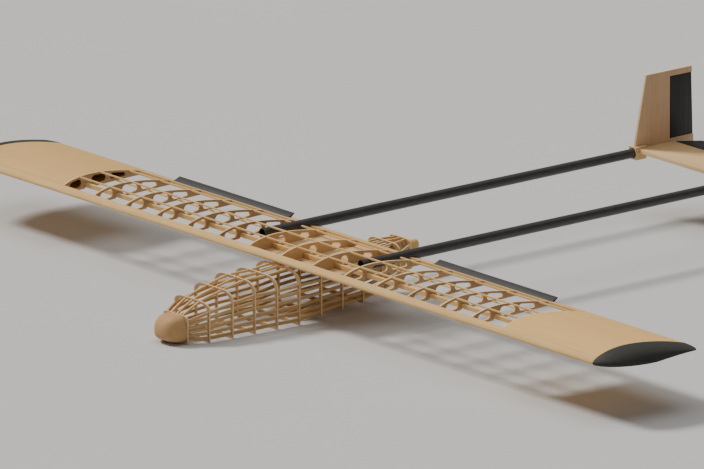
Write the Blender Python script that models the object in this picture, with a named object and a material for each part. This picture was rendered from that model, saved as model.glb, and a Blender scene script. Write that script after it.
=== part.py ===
"""Bare wooden airframe of a twin-boom model aeroplane with a rear motor boss, before covering.

Frame: +X to port, +Y aft, +Z up, in metres. The origin is the middle of the flat belly edge of the
pod former under the wing's leading edge, so the airframe stands on Z = 0.
"""

import math

import bmesh
import bpy
from mathutils import Vector
from mathutils.geometry import tessellate_polygon

# Wing
HALF_SPAN = 0.750
CHORD = 0.171
THICKNESS_RATIO = 0.120
CAMBER_RATIO = 0.040
CAMBER_PLACE = 0.40
WING_EDGE_Y = -0.003  # the leading edge's nose
WING_EDGE_Z = 0.086
RIB_PITCH = 0.072
RIBS_A_SIDE = 7
RIB_THICKNESS = 0.003
LEADING_STICK_DEPTH = 0.0087
STRINGER_PLACES = {"front": 0.23, "mid": 0.46, "rear": 0.78}
STRINGER_WIDTH = 0.003
STRINGER_HEIGHT = 0.0018
SPAR_PLACE = 0.30
SPAR_WIDTH = 0.005
SPAR_HEIGHT = 0.006
FLOOR_THICKNESS = 0.0015
FLOOR_FRONT = 0.012
# Each hole in the floor: place across, place behind the leading edge, radius.
FLOOR_HOLES = ((-0.040, 0.216 * CHORD, 0.005), (0.008, 0.216 * CHORD, 0.005), (0.004, 0.801 * CHORD, 0.007))
REAR_STICK_WIDTH = 0.021
REAR_STICK_FRONT = CHORD - REAR_STICK_WIDTH
# Each lightening hole in a rib, as shares of the chord: front, back, wood left above and below.
RIB_HOLES = ((0.112, 0.250, 0.021), (0.352, 0.520, 0.020), (0.560, 0.735, 0.019))
CENTRE_RIB_HOLES = ((0.355, 0.435, 0.026), (0.600, 0.700, 0.022))
TRAILING_HALF_THICKNESS = 0.0006
SKIN_THICKNESS = 0.0015
CAP_LENGTH = 0.039
CAP_NOSE_SWEEP = 0.075
CAP_TAIL_SWEEP = 0.012

# Ailerons
AILERON_INNER_X = 0.166
AILERON_OUTER_X = 0.432
AILERON_CHORD = 0.0133
AILERON_OVERHANG = 0.001  # past the trailing edge, when level
AILERON_HINGE_Y = CHORD + AILERON_OVERHANG - AILERON_CHORD  # behind the leading edge
AILERON_REST_DEG = 30.0

# Hinge wires, of ailerons, elevator and rudders
WIRE_RADIUS = 0.00075
WIRE_END_DEPTH = 0.005

# Tail booms
BOOM_X = 0.113
BOOM_FRONT = 0.066  # behind the leading edge
BOOM_END = 0.780
BOOM_FRONT_RADIUS = 0.008
BOOM_END_RADIUS = 0.007
BOOM_WALL = 0.0012

# Tail
FIN_THICKNESS = 0.005
FIN_FRONT_BOTTOM = 0.772
FIN_FRONT_TOP = 0.796
FIN_REAR_BOTTOM = 0.888
FIN_REAR_TOP = 0.884
FIN_BOTTOM_RISE = 0.001
FIN_TOP_RISE = 0.122
RUDDER_HINGE_Y = 0.8445
RUDDER_BOTTOM_RISE = 0.018
RUDDER_TOP_RISE = 0.1125
RUDDER_TAIL_HALF_THICKNESS = 0.0008
SOCKET_FRONT = 0.7715
SOCKET_END = 0.792
SOCKET_HALF_WIDTH = 0.0085
SOCKET_BOTTOM_RISE = -0.0030
SOCKET_TOP_RISE = 0.0165
STABILISER_FRONT = 0.778
STABILISER_RISE = 0.010
STABILISER_THICKNESS = 0.007
ELEVATOR_HINGE_Y = 0.852
ELEVATOR_CHORD = 0.036
ELEVATOR_TAIL_HALF_THICKNESS = 0.001
ELEVATOR_NOSE_REACH = 0.1065  # half width at the hinge line
ELEVATOR_TAIL_REACH = 0.0905  # half width at the rear edge, clear of a rudder turned inwards

# Pod
FORMER_THICKNESS = 0.0025
FORMER_SIDE_RIM = 0.0075
FORMER_DECK_RIM = 0.0055
FORMER_PROUD = 0.0012
SHOULDER_DROP = 0.017
BELLY_CORNER = 0.004
SHALLOW_DEPTH = 0.030  # of the pod, where shoulders and belly corners would vanish
FULL_DEPTH = 0.080  # where they have their full size
WALL_STRINGERS = 6
WALL_STRINGER_MARGIN = 0.0045  # from a shoulder or belly corner to the next strip's middle
WALL_STRINGER_HEIGHT = 0.0045
WALL_STRINGER_DEPTH = 0.003
DECK_STRINGER_WIDTH = 0.003
DECK_STRINGER_DEPTH = 0.003
DECK_STRINGER_SHARE = 0.76  # of the deck's half width
BELLY_STRINGER_SHARE = 0.55
NOSE_TIP_Y = -0.221
NOSE_BACK_Y = -0.189
NOSE_BLUNTNESS = 2.6  # 2 is an ellipse seen from the side, more is blunter
NOSE_ROUNDNESS = 0.55  # 1 is an ellipse seen from in front, less is squarer
NOSE_SINK = 0.004  # of the tip below the block's middle
BOSS_RADIUS = 0.0075
BOSS_LENGTH = 0.026
BOSS_DROP = 0.019
UNDER_WING = 0.0  # stands for the deck rise of a former that carries the wing
# Each former: place behind the leading edge, deck half width, wall half width, deck rise, belly rise.
FORMER_TABLE = (
    (-0.1872, 0.0165, 0.0275, -0.0450, -0.0850),
    (-0.1570, 0.0200, 0.0400, -0.0280, -0.0860),
    (-0.1170, 0.0230, 0.0440, -0.0170, -0.0860),
    (-0.0770, 0.0250, 0.0460, -0.0090, -0.0860),
    (-0.0370, 0.0250, 0.0480, -0.0085, -0.0860),
    (0.0030, 0.0250, 0.0500, UNDER_WING, -0.0860),
    (0.0430, 0.0250, 0.0510, UNDER_WING, -0.0800),
    (0.0830, 0.0250, 0.0510, UNDER_WING, -0.0760),
    (0.1230, 0.0250, 0.0500, UNDER_WING, -0.0740),
    (0.1630, 0.0250, 0.0450, UNDER_WING, -0.0680),
    (0.2030, 0.0220, 0.0360, -0.0030, -0.0600),
    (0.2340, 0.0140, 0.0230, -0.0030, -0.0480),
)

GAP = 0.0003
NOTCH_GAP = 0.0008
ROUND_SIDES = 16

# Colour and roughness of each stuff.
STUFFS = {
    "balsa": ((0.60, 0.42, 0.24), 0.75),
    "dark_wood": ((0.055, 0.055, 0.060), 0.55),
    "carbon": ((0.028, 0.027, 0.030), 0.40),
    "steel": ((0.45, 0.45, 0.47), 0.30),
}


# --- general helpers -------------------------------------------------------------------------


def clear_scene():
    for obj in list(bpy.data.objects):
        bpy.data.objects.remove(obj)


def material_for(name, kind):
    """A material of the object's own, in the colour of its kind."""
    colour, roughness = STUFFS[kind]
    material = bpy.data.materials.new(f"{name}_{kind}")
    material.use_nodes = True
    shader = material.node_tree.nodes["Principled BSDF"]
    shader.inputs["Base Color"].default_value = (*colour, 1.0)
    shader.inputs["Roughness"].default_value = roughness
    shader.inputs["Metallic"].default_value = 1.0 if kind == "steel" else 0.0
    return material


def make_object(name, points, faces, kind, origin=(0.0, 0.0, 0.0), smooth=False):
    """A closed mesh object with its faces pointing out and its origin at the given point."""
    origin = Vector(origin)
    mesh = bpy.data.meshes.new(name)
    mesh.from_pydata([Vector(point) - origin for point in points], [], faces)
    work = bmesh.new()
    work.from_mesh(mesh)
    bmesh.ops.recalc_face_normals(work, faces=work.faces)
    work.to_mesh(mesh)
    work.free()
    if smooth:
        mesh.shade_smooth()
        mesh.set_sharp_from_angle(angle=math.radians(35))
    obj = bpy.data.objects.new(name, mesh)
    obj.location = origin
    obj.data.materials.append(material_for(name, kind))
    bpy.context.scene.collection.objects.link(obj)
    return obj


def along_x(a, b, depth):
    return (depth, a, b)


def along_y(a, b, depth):
    return (a, depth, b)


def along_z(a, b, depth):
    return (a, b, depth)


def plate_mesh(loops, low, high, direction):
    """Points and faces of an outline with holes, given its flat loops, between two depths."""
    flat = [point for loop in loops for point in loop]
    triangles = tessellate_polygon([[Vector((a, b, 0.0)) for a, b in loop] for loop in loops])
    count = len(flat)
    points = [direction(a, b, low) for a, b in flat] + [direction(a, b, high) for a, b in flat]
    faces = [tuple(triangle) for triangle in triangles]
    faces += [tuple(index + count for index in reversed(triangle)) for triangle in triangles]
    start = 0
    for loop in loops:
        size = len(loop)
        for i in range(size):
            a, b = start + i, start + (i + 1) % size
            faces.append((a, b, b + count, a + count))
        start += size
    return points, faces


def plate(name, loops, low, high, direction, kind="balsa", origin=(0.0, 0.0, 0.0)):
    points, faces = plate_mesh(loops, low, high, direction)
    return make_object(name, points, faces, kind, origin)


def loft_mesh(rings):
    """Points and faces through rings of equal size, closed by a flat cap at each end."""
    size = len(rings[0])
    points = [point for ring in rings for point in ring]
    faces = [tuple(range(size)), tuple(range(len(points) - size, len(points)))]
    for level in range(len(rings) - 1):
        for i in range(size):
            a, b = level * size + i, level * size + (i + 1) % size
            faces.append((a, b, b + size, a + size))
    return points, faces


def circle(radius, sides=ROUND_SIDES):
    turns = [2 * math.pi * (i + 0.5) / sides for i in range(sides)]
    return [(radius * math.cos(turn), radius * math.sin(turn)) for turn in turns]


def rod(name, start, end, radius, kind, sides=8):
    """A round rod between two points on a line parallel to X, Y or Z."""
    direction = (along_x, along_y, along_z)[
        max(range(3), key=lambda i: abs(end[i] - start[i]))
    ]
    rings = []
    for point in (start, end):
        rings.append([Vector(point) + Vector(direction(a, b, 0.0)) for a, b in circle(radius, sides)])
    points, faces = loft_mesh(rings)
    return make_object(name, points, faces, kind, start, smooth=True)


def drill(obj, start, end, radius):
    """Cuts a round hole, on a line parallel to an axis, out of an object."""
    cutter = rod(f"{obj.name}_hole", start, end, radius, "steel", sides=12)
    cutter.hide_render = True
    cutter.display_type = "WIRE"
    cut = obj.modifiers.new("hole", "BOOLEAN")
    cut.operation = "DIFFERENCE"
    cut.object = cutter


def side_name(side):
    return "port" if side > 0 else "starboard"


def spread(low, high, count):
    return [low + (high - low) * i / (count - 1) for i in range(count)]


# --- the wing section --------------------------------------------------------------------------


def camber(place):
    if place < CAMBER_PLACE:
        return CAMBER_RATIO / CAMBER_PLACE**2 * (2 * CAMBER_PLACE * place - place**2)
    back = 1 - CAMBER_PLACE
    return CAMBER_RATIO / back**2 * (1 - 2 * CAMBER_PLACE + 2 * CAMBER_PLACE * place - place**2)


def half_depth(place):
    root = math.sqrt(max(place, 0.0))
    series = 0.2969 * root - 0.1260 * place - 0.3516 * place**2 + 0.2843 * place**3 - 0.1036 * place**4
    return 5 * THICKNESS_RATIO * series


def upper(back, chord=CHORD):
    """Height of the upper surface above the nose, at a distance behind the leading edge."""
    place = back / chord
    return chord * (camber(place) + half_depth(place)) + place * TRAILING_HALF_THICKNESS


def lower(back, chord=CHORD):
    place = back / chord
    return chord * (camber(place) - half_depth(place)) - place * TRAILING_HALF_THICKNESS


def wing_point(back, rise):
    """From distances behind and above the leading edge's nose to the frame's Y and Z."""
    return (WING_EDGE_Y + back, WING_EDGE_Z + rise)


def shifted(loop):
    return [wing_point(back, rise) for back, rise in loop]


def boom_rise():
    """The booms' axis above the leading edge's nose: they touch the mid stringer's underside."""
    return upper(STRINGER_PLACES["mid"] * CHORD) - STRINGER_HEIGHT - GAP / 2 - BOOM_FRONT_RADIUS


def wing_seat():
    """The lowest point of the wing's underside, less a gap."""
    return min(lower(place) for place in spread(0.0, CHORD, 80)) - GAP


def formers():
    """The table's rows, with the decks of those that carry the wing at its underside."""
    return [(*row[:3], wing_seat() if row[3] == UNDER_WING else row[3], row[4]) for row in FORMER_TABLE]


# --- wing parts ----------------------------------------------------------------------------------


def notch(centre, width, depth, height, sign):
    """Four corners of a slot cut into a surface, from front to back."""
    front, back = centre - width / 2, centre + width / 2
    return [
        (front, height(front)),
        (front, height(centre) - sign * depth),
        (back, height(centre) - sign * depth),
        (back, height(back)),
    ]


def surface_with_notches(height, fronts, notches):
    """Surface points at the given places, with the notches put in between them in order."""
    spans = [(slot[0][0] - 0.001, slot[-1][0] + 0.001) for slot in notches]
    kept = [(back, height(back)) for back in fronts if not any(a < back < b for a, b in spans)]
    return sorted(kept + [point for slot in notches for point in slot], key=lambda point: point[0])


def ordered(points, notches):
    """Keeps each notch's own corner order, which sorting by place alone would lose."""
    corners = [point for slot in notches for point in slot]
    plain = [point for point in points if point not in corners]
    result = []
    slots = sorted(notches, key=lambda slot: slot[0][0])
    for point in plain:
        while slots and slots[0][0][0] < point[0]:
            result += slots.pop(0)
        result.append(point)
    for slot in slots:
        result += slot
    return result


def long_hole(front, back, margin):
    """An eight-sided lightening hole between two places, inside the section by the margin."""
    cut = (back - front) * 0.25
    loop = []
    for place in (front, front + cut, back - cut, back):
        middle = (upper(place) + lower(place)) / 2
        reach = (upper(place) - lower(place)) / 2 - margin
        reach *= 0.5 if place in (front, back) else 1.0
        loop.append((place, middle, reach))
    top = [(place, middle + reach) for place, middle, reach in loop]
    bottom = [(place, middle - reach) for place, middle, reach in reversed(loop)]
    return top + bottom


def spar_bottom():
    return lower(SPAR_PLACE * CHORD) + FLOOR_THICKNESS + 2 * GAP


def rib_loops(over_floor):
    """Outline and lightening holes of a rib, with slots for the stringers and the main spar."""
    front = LEADING_STICK_DEPTH + GAP
    back = REAR_STICK_FRONT - GAP
    lift = FLOOR_THICKNESS + GAP if over_floor else 0.0
    places = spread(front, back, 12)
    top_slots = [
        notch(place * CHORD, STRINGER_WIDTH + 2 * GAP, STRINGER_HEIGHT + GAP, upper, 1)
        for place in STRINGER_PLACES.values()
    ]
    top = ordered(surface_with_notches(upper, places, top_slots), top_slots)

    def underside(place):
        return lower(place) + (lift if place > FLOOR_FRONT - GAP else 0.0)

    spar_y = SPAR_PLACE * CHORD
    spar_top = spar_bottom() + SPAR_HEIGHT + GAP
    half = SPAR_WIDTH / 2 + GAP
    spar_slot = [
        (spar_y - half, underside(spar_y - half)),
        (spar_y - half, spar_top),
        (spar_y + half, spar_top),
        (spar_y + half, underside(spar_y + half)),
    ]
    under_places = [front] + spread(FLOOR_FRONT, back, 7)
    bottom = ordered(surface_with_notches(underside, under_places, [spar_slot]), [spar_slot])
    outline = top + bottom[::-1]
    shares = CENTRE_RIB_HOLES if over_floor else RIB_HOLES
    holes = [long_hole(*(share * CHORD for share in hole)) for hole in shares]
    return [shifted(outline)] + [shifted(hole[::-1]) for hole in holes]


def make_ribs():
    for number in range(-RIBS_A_SIDE, RIBS_A_SIDE + 1):
        middle = number * RIB_PITCH
        name = "rib_centre" if number == 0 else f"rib_{side_name(number)}_{abs(number)}"
        over_floor = abs(middle) < BOOM_X - BOOM_FRONT_RADIUS
        loops = rib_loops(over_floor)
        low, high = middle - RIB_THICKNESS / 2, middle + RIB_THICKNESS / 2
        plate(name, loops, low, high, along_x, origin=(middle, *wing_point(0.0, 0.0)))


def panel_inner_x():
    """Where the sheeted outer panel starts, against the last open rib."""
    return RIBS_A_SIDE * RIB_PITCH + RIB_THICKNESS / 2 + GAP


def cap_inner_x():
    return HALF_SPAN - CAP_LENGTH


def make_leading_edge():
    deep = LEADING_STICK_DEPTH
    places = [deep * share for share in (1.0, 0.6, 0.3, 0.1, 0.02)]
    top = [(place, upper(place)) for place in places]
    bottom = [(place, lower(place)) for place in reversed(places)]
    reach = cap_inner_x() - GAP
    plate("leading_edge", [shifted(top + [(0.0, 0.0)] + bottom)], -reach, reach, along_x)


def stringer_loop(place):
    """Section of a wing stringer, its top following the surface."""
    centre = place * CHORD
    front, back = centre - STRINGER_WIDTH / 2, centre + STRINGER_WIDTH / 2
    top = min(upper(front), upper(back))
    return shifted([(front, top - STRINGER_HEIGHT), (back, top - STRINGER_HEIGHT), (back, top), (front, top)])


def make_wing_stringers():
    reach = panel_inner_x() - GAP
    beside_boom = BOOM_FRONT_RADIUS + GAP
    for name in ("front", "mid"):
        loop = stringer_loop(STRINGER_PLACES[name])
        plate(f"wing_stringer_{name}", [loop], -reach, reach, along_x)
    loop = stringer_loop(STRINGER_PLACES["rear"])
    inner = BOOM_X - beside_boom
    plate("wing_stringer_rear_centre", [loop], -inner, inner, along_x)
    for side in (-1, 1):
        ends = sorted((side * (BOOM_X + beside_boom), side * reach))
        plate(f"wing_stringer_rear_{side_name(side)}", [loop], *ends, along_x)


def make_main_spar():
    centre = SPAR_PLACE * CHORD
    front, back = centre - SPAR_WIDTH / 2, centre + SPAR_WIDTH / 2
    low = spar_bottom()
    high = low + SPAR_HEIGHT
    reach = panel_inner_x() - GAP
    loop = shifted([(front, low), (back, low), (back, high), (front, high)])
    plate("main_spar", [loop], -reach, reach, along_x)


def make_centre_floor():
    places = spread(FLOOR_FRONT, REAR_STICK_FRONT - GAP, 8)
    under = [(place, lower(place)) for place in places]
    over = [(place, rise + FLOOR_THICKNESS) for place, rise in reversed(under)]
    reach = BOOM_X - BOOM_FRONT_RADIUS - GAP
    floor = plate("centre_floor", [shifted(under + over)], -reach, reach, along_x)
    for x, back, radius in FLOOR_HOLES:
        y, low = wing_point(back, lower(back) - FLOOR_THICKNESS)
        drill(floor, (x, y, low), (x, y, low + 3 * FLOOR_THICKNESS), radius)


def wedge(name, outline, kind="balsa"):
    """A plan outline given as (x, back) points, between the wing's two surfaces."""
    count = len(outline)
    triangles = tessellate_polygon([[Vector((x, back, 0.0)) for x, back in outline]])
    points = [(x, *wing_point(back, upper(back))) for x, back in outline]
    points += [(x, *wing_point(back, lower(back))) for x, back in outline]
    faces = [tuple(triangle) for triangle in triangles]
    faces += [tuple(index + count for index in reversed(triangle)) for triangle in triangles]
    faces += [(i, (i + 1) % count, (i + 1) % count + count, i + count) for i in range(count)]
    return make_object(name, points, faces, kind)


def aileron_axis():
    """Place behind, and rise above, the leading edge of the ailerons' hinge line."""
    return AILERON_HINGE_Y, (upper(AILERON_HINGE_Y) + lower(AILERON_HINGE_Y)) / 2


def aileron_nose_radius():
    return (upper(AILERON_HINGE_Y) - lower(AILERON_HINGE_Y)) / 2


def make_trailing_edges():
    front = REAR_STICK_FRONT
    cut_back = AILERON_HINGE_Y - aileron_nose_radius() - GAP
    inner = BOOM_X + BOOM_FRONT_RADIUS + GAP
    centre = BOOM_X - BOOM_FRONT_RADIUS - GAP
    outer = panel_inner_x() - GAP
    wedge("trailing_edge_centre", [(-centre, front), (centre, front), (centre, CHORD), (-centre, CHORD)])
    back, rise = aileron_axis()
    for side in (-1, 1):
        outline = [
            (side * inner, front),
            (side * outer, front),
            (side * outer, CHORD),
            (side * (AILERON_OUTER_X + GAP), CHORD),
            (side * (AILERON_OUTER_X + GAP), cut_back),
            (side * (AILERON_INNER_X - GAP), cut_back),
            (side * (AILERON_INNER_X - GAP), CHORD),
            (side * inner, CHORD),
        ]
        stick = wedge(f"trailing_edge_{side_name(side)}", outline)
        depth = WIRE_END_DEPTH + GAP
        start = (side * (AILERON_INNER_X - GAP - depth), *wing_point(back, rise))
        end = (side * (AILERON_OUTER_X + GAP + depth), *wing_point(back, rise))
        drill(stick, start, end, WIRE_RADIUS + GAP)


def make_outer_panels():
    """Sheeting wrapped round the outer wing, open in front where the leading edge stick closes it."""
    front = LEADING_STICK_DEPTH + GAP
    places = [front] + spread(0.020, CHORD, 9)
    inside = [place for place in places if upper(place) - lower(place) > 3 * SKIN_THICKNESS]
    outer_top = [(place, upper(place)) for place in places]
    outer_bottom = [(place, lower(place)) for place in reversed(places)]
    inner_bottom = [(place, lower(place) + SKIN_THICKNESS) for place in inside]
    inner_top = [(place, upper(place) - SKIN_THICKNESS) for place in reversed(inside)]
    loop = shifted(outer_top + outer_bottom + inner_bottom + inner_top)
    for side in (-1, 1):
        ends = sorted((side * panel_inner_x(), side * (cap_inner_x() - GAP)))
        plate(f"outer_panel_{side_name(side)}", [loop], *ends, along_x)


def make_tip_caps():
    """Rounded tips: each section is shorter and thinner, and its underside stays low."""
    places = [0.0, 0.02, 0.06, 0.14, 0.28, 0.45, 0.62, 0.80, 1.0]
    for side in (-1, 1):
        rings = []
        for share in (0.0, 0.35, 0.65, 0.86, 0.97, 1.0):
            fall = 1 - math.sqrt(1 - share**2)
            start = CAP_NOSE_SWEEP * fall
            chord = CHORD - start - CAP_TAIL_SWEEP * fall
            thin = 0.12 + 0.88 * math.sqrt(1 - share**2)
            x = side * (cap_inner_x() + share * CAP_LENGTH)

            def ring_point(place, height):
                base = lower(place * CHORD)
                rise = base + (height - base) * thin
                return (x, *wing_point(start + place * chord, rise))

            ring = [ring_point(place, upper(place * CHORD)) for place in places]
            ring += [ring_point(place, lower(place * CHORD)) for place in places[:0:-1]]
            rings.append(ring)
        points, faces = loft_mesh(rings)
        make_object(f"tip_cap_{side_name(side)}", points, faces, "dark_wood", smooth=True)


# --- hinged surfaces -----------------------------------------------------------------------------


def flap_loop(nose_radius, length, edge_half):
    """Section of a hinged surface about its axis: round nose, slotted in front for the wire."""
    slot = WIRE_RADIUS + GAP
    corner = math.pi - math.asin(min(slot / nose_radius, 0.9))
    turns = spread(math.pi / 2, corner, 4)
    top = [(nose_radius * math.cos(turn), nose_radius * math.sin(turn)) for turn in turns]
    half = [(length, edge_half)] + top + [(slot, slot)]
    return half + [(back, -rise) for back, rise in reversed(half)]


def turned(loop, degrees):
    angle = math.radians(degrees)
    return [
        (a * math.cos(angle) - b * math.sin(angle), a * math.sin(angle) + b * math.cos(angle))
        for a, b in loop
    ]


def make_ailerons():
    back, rise = aileron_axis()
    axis_y, axis_z = wing_point(back, rise)
    section = turned(flap_loop(aileron_nose_radius(), AILERON_CHORD, TRAILING_HALF_THICKNESS), AILERON_REST_DEG)
    loop = [(axis_y + a, axis_z + b) for a, b in section]
    for side in (-1, 1):
        ends = sorted((side * AILERON_INNER_X, side * AILERON_OUTER_X))
        origin = (side * AILERON_INNER_X, axis_y, axis_z)
        plate(f"aileron_{side_name(side)}", [loop], *ends, along_x, "dark_wood", origin)
        start = (side * (AILERON_INNER_X - WIRE_END_DEPTH), axis_y, axis_z)
        end = (side * (AILERON_OUTER_X + WIRE_END_DEPTH), axis_y, axis_z)
        rod(f"aileron_hinge_wire_{side_name(side)}", start, end, WIRE_RADIUS, "steel")


# --- tail ------------------------------------------------------------------------------------------


def fin_front(rise):
    share = (rise - FIN_BOTTOM_RISE) / (FIN_TOP_RISE - FIN_BOTTOM_RISE)
    return FIN_FRONT_BOTTOM + (FIN_FRONT_TOP - FIN_FRONT_BOTTOM) * share


def fin_rear(rise):
    share = (rise - FIN_BOTTOM_RISE) / (FIN_TOP_RISE - FIN_BOTTOM_RISE)
    return FIN_REAR_BOTTOM + (FIN_REAR_TOP - FIN_REAR_BOTTOM) * share


def make_fins():
    bay_front = RUDDER_HINGE_Y - FIN_THICKNESS / 2 - GAP
    bay_low, bay_high = RUDDER_BOTTOM_RISE - GAP, RUDDER_TOP_RISE + GAP
    step = SOCKET_TOP_RISE + GAP
    outline = [
        (SOCKET_END + GAP, FIN_BOTTOM_RISE),
        (fin_rear(FIN_BOTTOM_RISE), FIN_BOTTOM_RISE),
        (fin_rear(bay_low), bay_low),
        (bay_front, bay_low),
        (bay_front, bay_high),
        (fin_rear(bay_high), bay_high),
        (fin_rear(FIN_TOP_RISE), FIN_TOP_RISE),
        (fin_front(FIN_TOP_RISE), FIN_TOP_RISE),
        (fin_front(step), step),
        (SOCKET_END + GAP, step),
    ]
    depth = WIRE_END_DEPTH
    for side in (-1, 1):
        name = side_name(side)
        middle = side * BOOM_X
        axis_y = WING_EDGE_Y + RUDDER_HINGE_Y
        low = WING_EDGE_Z + RUDDER_BOTTOM_RISE
        high = WING_EDGE_Z + RUDDER_TOP_RISE
        ends = (middle - FIN_THICKNESS / 2, middle + FIN_THICKNESS / 2)
        fin = plate(f"fin_{name}", [shifted(outline)], *ends, along_x, origin=(middle, axis_y, low))
        clear = GAP + depth
        drill(fin, (middle, axis_y, low - clear - GAP), (middle, axis_y, high + clear + GAP), WIRE_RADIUS + GAP)
        rod(f"rudder_pin_{name}", (middle, axis_y, low - depth), (middle, axis_y, high + depth), WIRE_RADIUS, "steel")
        make_rudder(f"rudder_{name}", middle, axis_y, low, high)


def make_rudder(name, middle, axis_y, low, high):
    """A rudder lofted from its wider foot to its narrower head."""
    rings = []
    for height in (low, high):
        length = fin_rear(height - WING_EDGE_Z) - RUDDER_HINGE_Y
        section = flap_loop(FIN_THICKNESS / 2, length, RUDDER_TAIL_HALF_THICKNESS)
        rings.append([(middle + b, axis_y + a, height) for a, b in section])
    points, faces = loft_mesh(rings)
    make_object(name, points, faces, "dark_wood", (middle, axis_y, low))


def make_sockets():
    """Wooden blocks that hold the boom ends, under the fins' front."""
    for side in (-1, 1):
        middle = side * BOOM_X
        low, high = WING_EDGE_Z + SOCKET_BOTTOM_RISE, WING_EDGE_Z + SOCKET_TOP_RISE
        front, back = WING_EDGE_Y + SOCKET_FRONT, WING_EDGE_Y + SOCKET_END
        half = SOCKET_HALF_WIDTH
        loop = [(middle - half, low), (middle + half, low), (middle + half, high), (middle - half, high)]
        block = plate(f"boom_socket_{side_name(side)}", [loop], front, back, along_y)
        axis_z = WING_EDGE_Z + boom_rise()
        end = WING_EDGE_Y + BOOM_END + GAP
        drill(block, (middle, front - 0.001, axis_z), (middle, end, axis_z), BOOM_END_RADIUS + 2 * GAP)


def make_stabiliser():
    """A flat board between the fins, its front corners cut away round the boom sockets."""
    half = STABILISER_THICKNESS / 2
    reach = BOOM_X - FIN_THICKNESS / 2 - GAP
    shoulder = BOOM_X - SOCKET_HALF_WIDTH - GAP
    front = WING_EDGE_Y + STABILISER_FRONT
    step = WING_EDGE_Y + SOCKET_END + GAP
    back = WING_EDGE_Y + ELEVATOR_HINGE_Y - half - GAP
    right = [(shoulder, front), (shoulder, step), (reach, step), (reach, back)]
    loop = right + [(-x, y) for x, y in reversed(right)]
    middle = WING_EDGE_Z + STABILISER_RISE
    plate("stabiliser", [loop], middle - half, middle + half, along_z)


def make_elevator():
    """A tapered board whose ends slant in towards the rear, so that it clears the turned rudders."""
    axis_y, axis_z = wing_point(ELEVATOR_HINGE_Y, STABILISER_RISE)
    nose = STABILISER_THICKNESS / 2
    section = flap_loop(nose, ELEVATOR_CHORD, ELEVATOR_TAIL_HALF_THICKNESS)
    rings = []
    for side in (-1, 1):
        ring = []
        for a, b in section:
            share = (a + nose) / (ELEVATOR_CHORD + nose)
            reach = ELEVATOR_NOSE_REACH + (ELEVATOR_TAIL_REACH - ELEVATOR_NOSE_REACH) * share
            ring.append((side * reach, axis_y + a, axis_z + b))
        rings.append(ring)
    points, faces = loft_mesh(rings)
    make_object("elevator", points, faces, "dark_wood", (0.0, axis_y, axis_z))
    reach = BOOM_X - FIN_THICKNESS / 2 - GAP
    rod("elevator_hinge_wire", (-reach, axis_y, axis_z), (reach, axis_y, axis_z), WIRE_RADIUS, "steel")


# --- booms -----------------------------------------------------------------------------------------


def make_booms():
    """Tapered tubes, open at both ends."""
    for side in (-1, 1):
        axis_z = WING_EDGE_Z + boom_rise()
        ends = ((BOOM_FRONT, BOOM_FRONT_RADIUS), (BOOM_END, BOOM_END_RADIUS))
        points = []
        for back, radius in ends:
            for ring_radius in (radius, radius - BOOM_WALL):
                points += [(side * BOOM_X + a, WING_EDGE_Y + back, axis_z + b) for a, b in circle(ring_radius)]
        n = ROUND_SIDES
        faces = []
        for i in range(n):
            j = (i + 1) % n
            faces.append((i, j, 2 * n + j, 2 * n + i))
            faces.append((n + i, n + j, 3 * n + j, 3 * n + i))
            faces.append((i, j, n + j, n + i))
            faces.append((2 * n + i, 2 * n + j, 3 * n + j, 3 * n + i))
        origin = (side * BOOM_X, WING_EDGE_Y + BOOM_FRONT, axis_z)
        make_object(f"tail_boom_{side_name(side)}", points, faces, "carbon", origin, smooth=True)


# --- pod -------------------------------------------------------------------------------------------


def wall_levels(top, bottom):
    """Heights of the wall stringers' middles at a former, from the shoulder down."""
    high = top - SHOULDER_DROP * wall_scale(top, bottom) - WALL_STRINGER_MARGIN
    low = bottom + BELLY_CORNER * wall_scale(top, bottom) + WALL_STRINGER_MARGIN
    return spread(high, low, WALL_STRINGERS)


def wall_scale(top, bottom):
    """Shoulders and belly corners shrink where the pod is shallow."""
    return min(1.0, (top - bottom - SHALLOW_DEPTH) / (FULL_DEPTH - SHALLOW_DEPTH))


def deck_places(deck_half):
    return [-DECK_STRINGER_SHARE * deck_half, 0.0, DECK_STRINGER_SHARE * deck_half]


def belly_places(wall_half):
    return [-BELLY_STRINGER_SHARE * wall_half, 0.0, BELLY_STRINGER_SHARE * wall_half]


def edge_notches(centres, width, depth, edge, inward, vertical):
    """Corners of slots along a straight edge, in the centres' order."""
    step = math.copysign(width / 2, centres[-1] - centres[0])
    points = []
    for centre in centres:
        first, second = centre - step, centre + step
        corners = [(first, edge), (first, edge + inward * depth), (second, edge + inward * depth), (second, edge)]
        points += [(b, a) for a, b in corners] if vertical else corners
    return points


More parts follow.
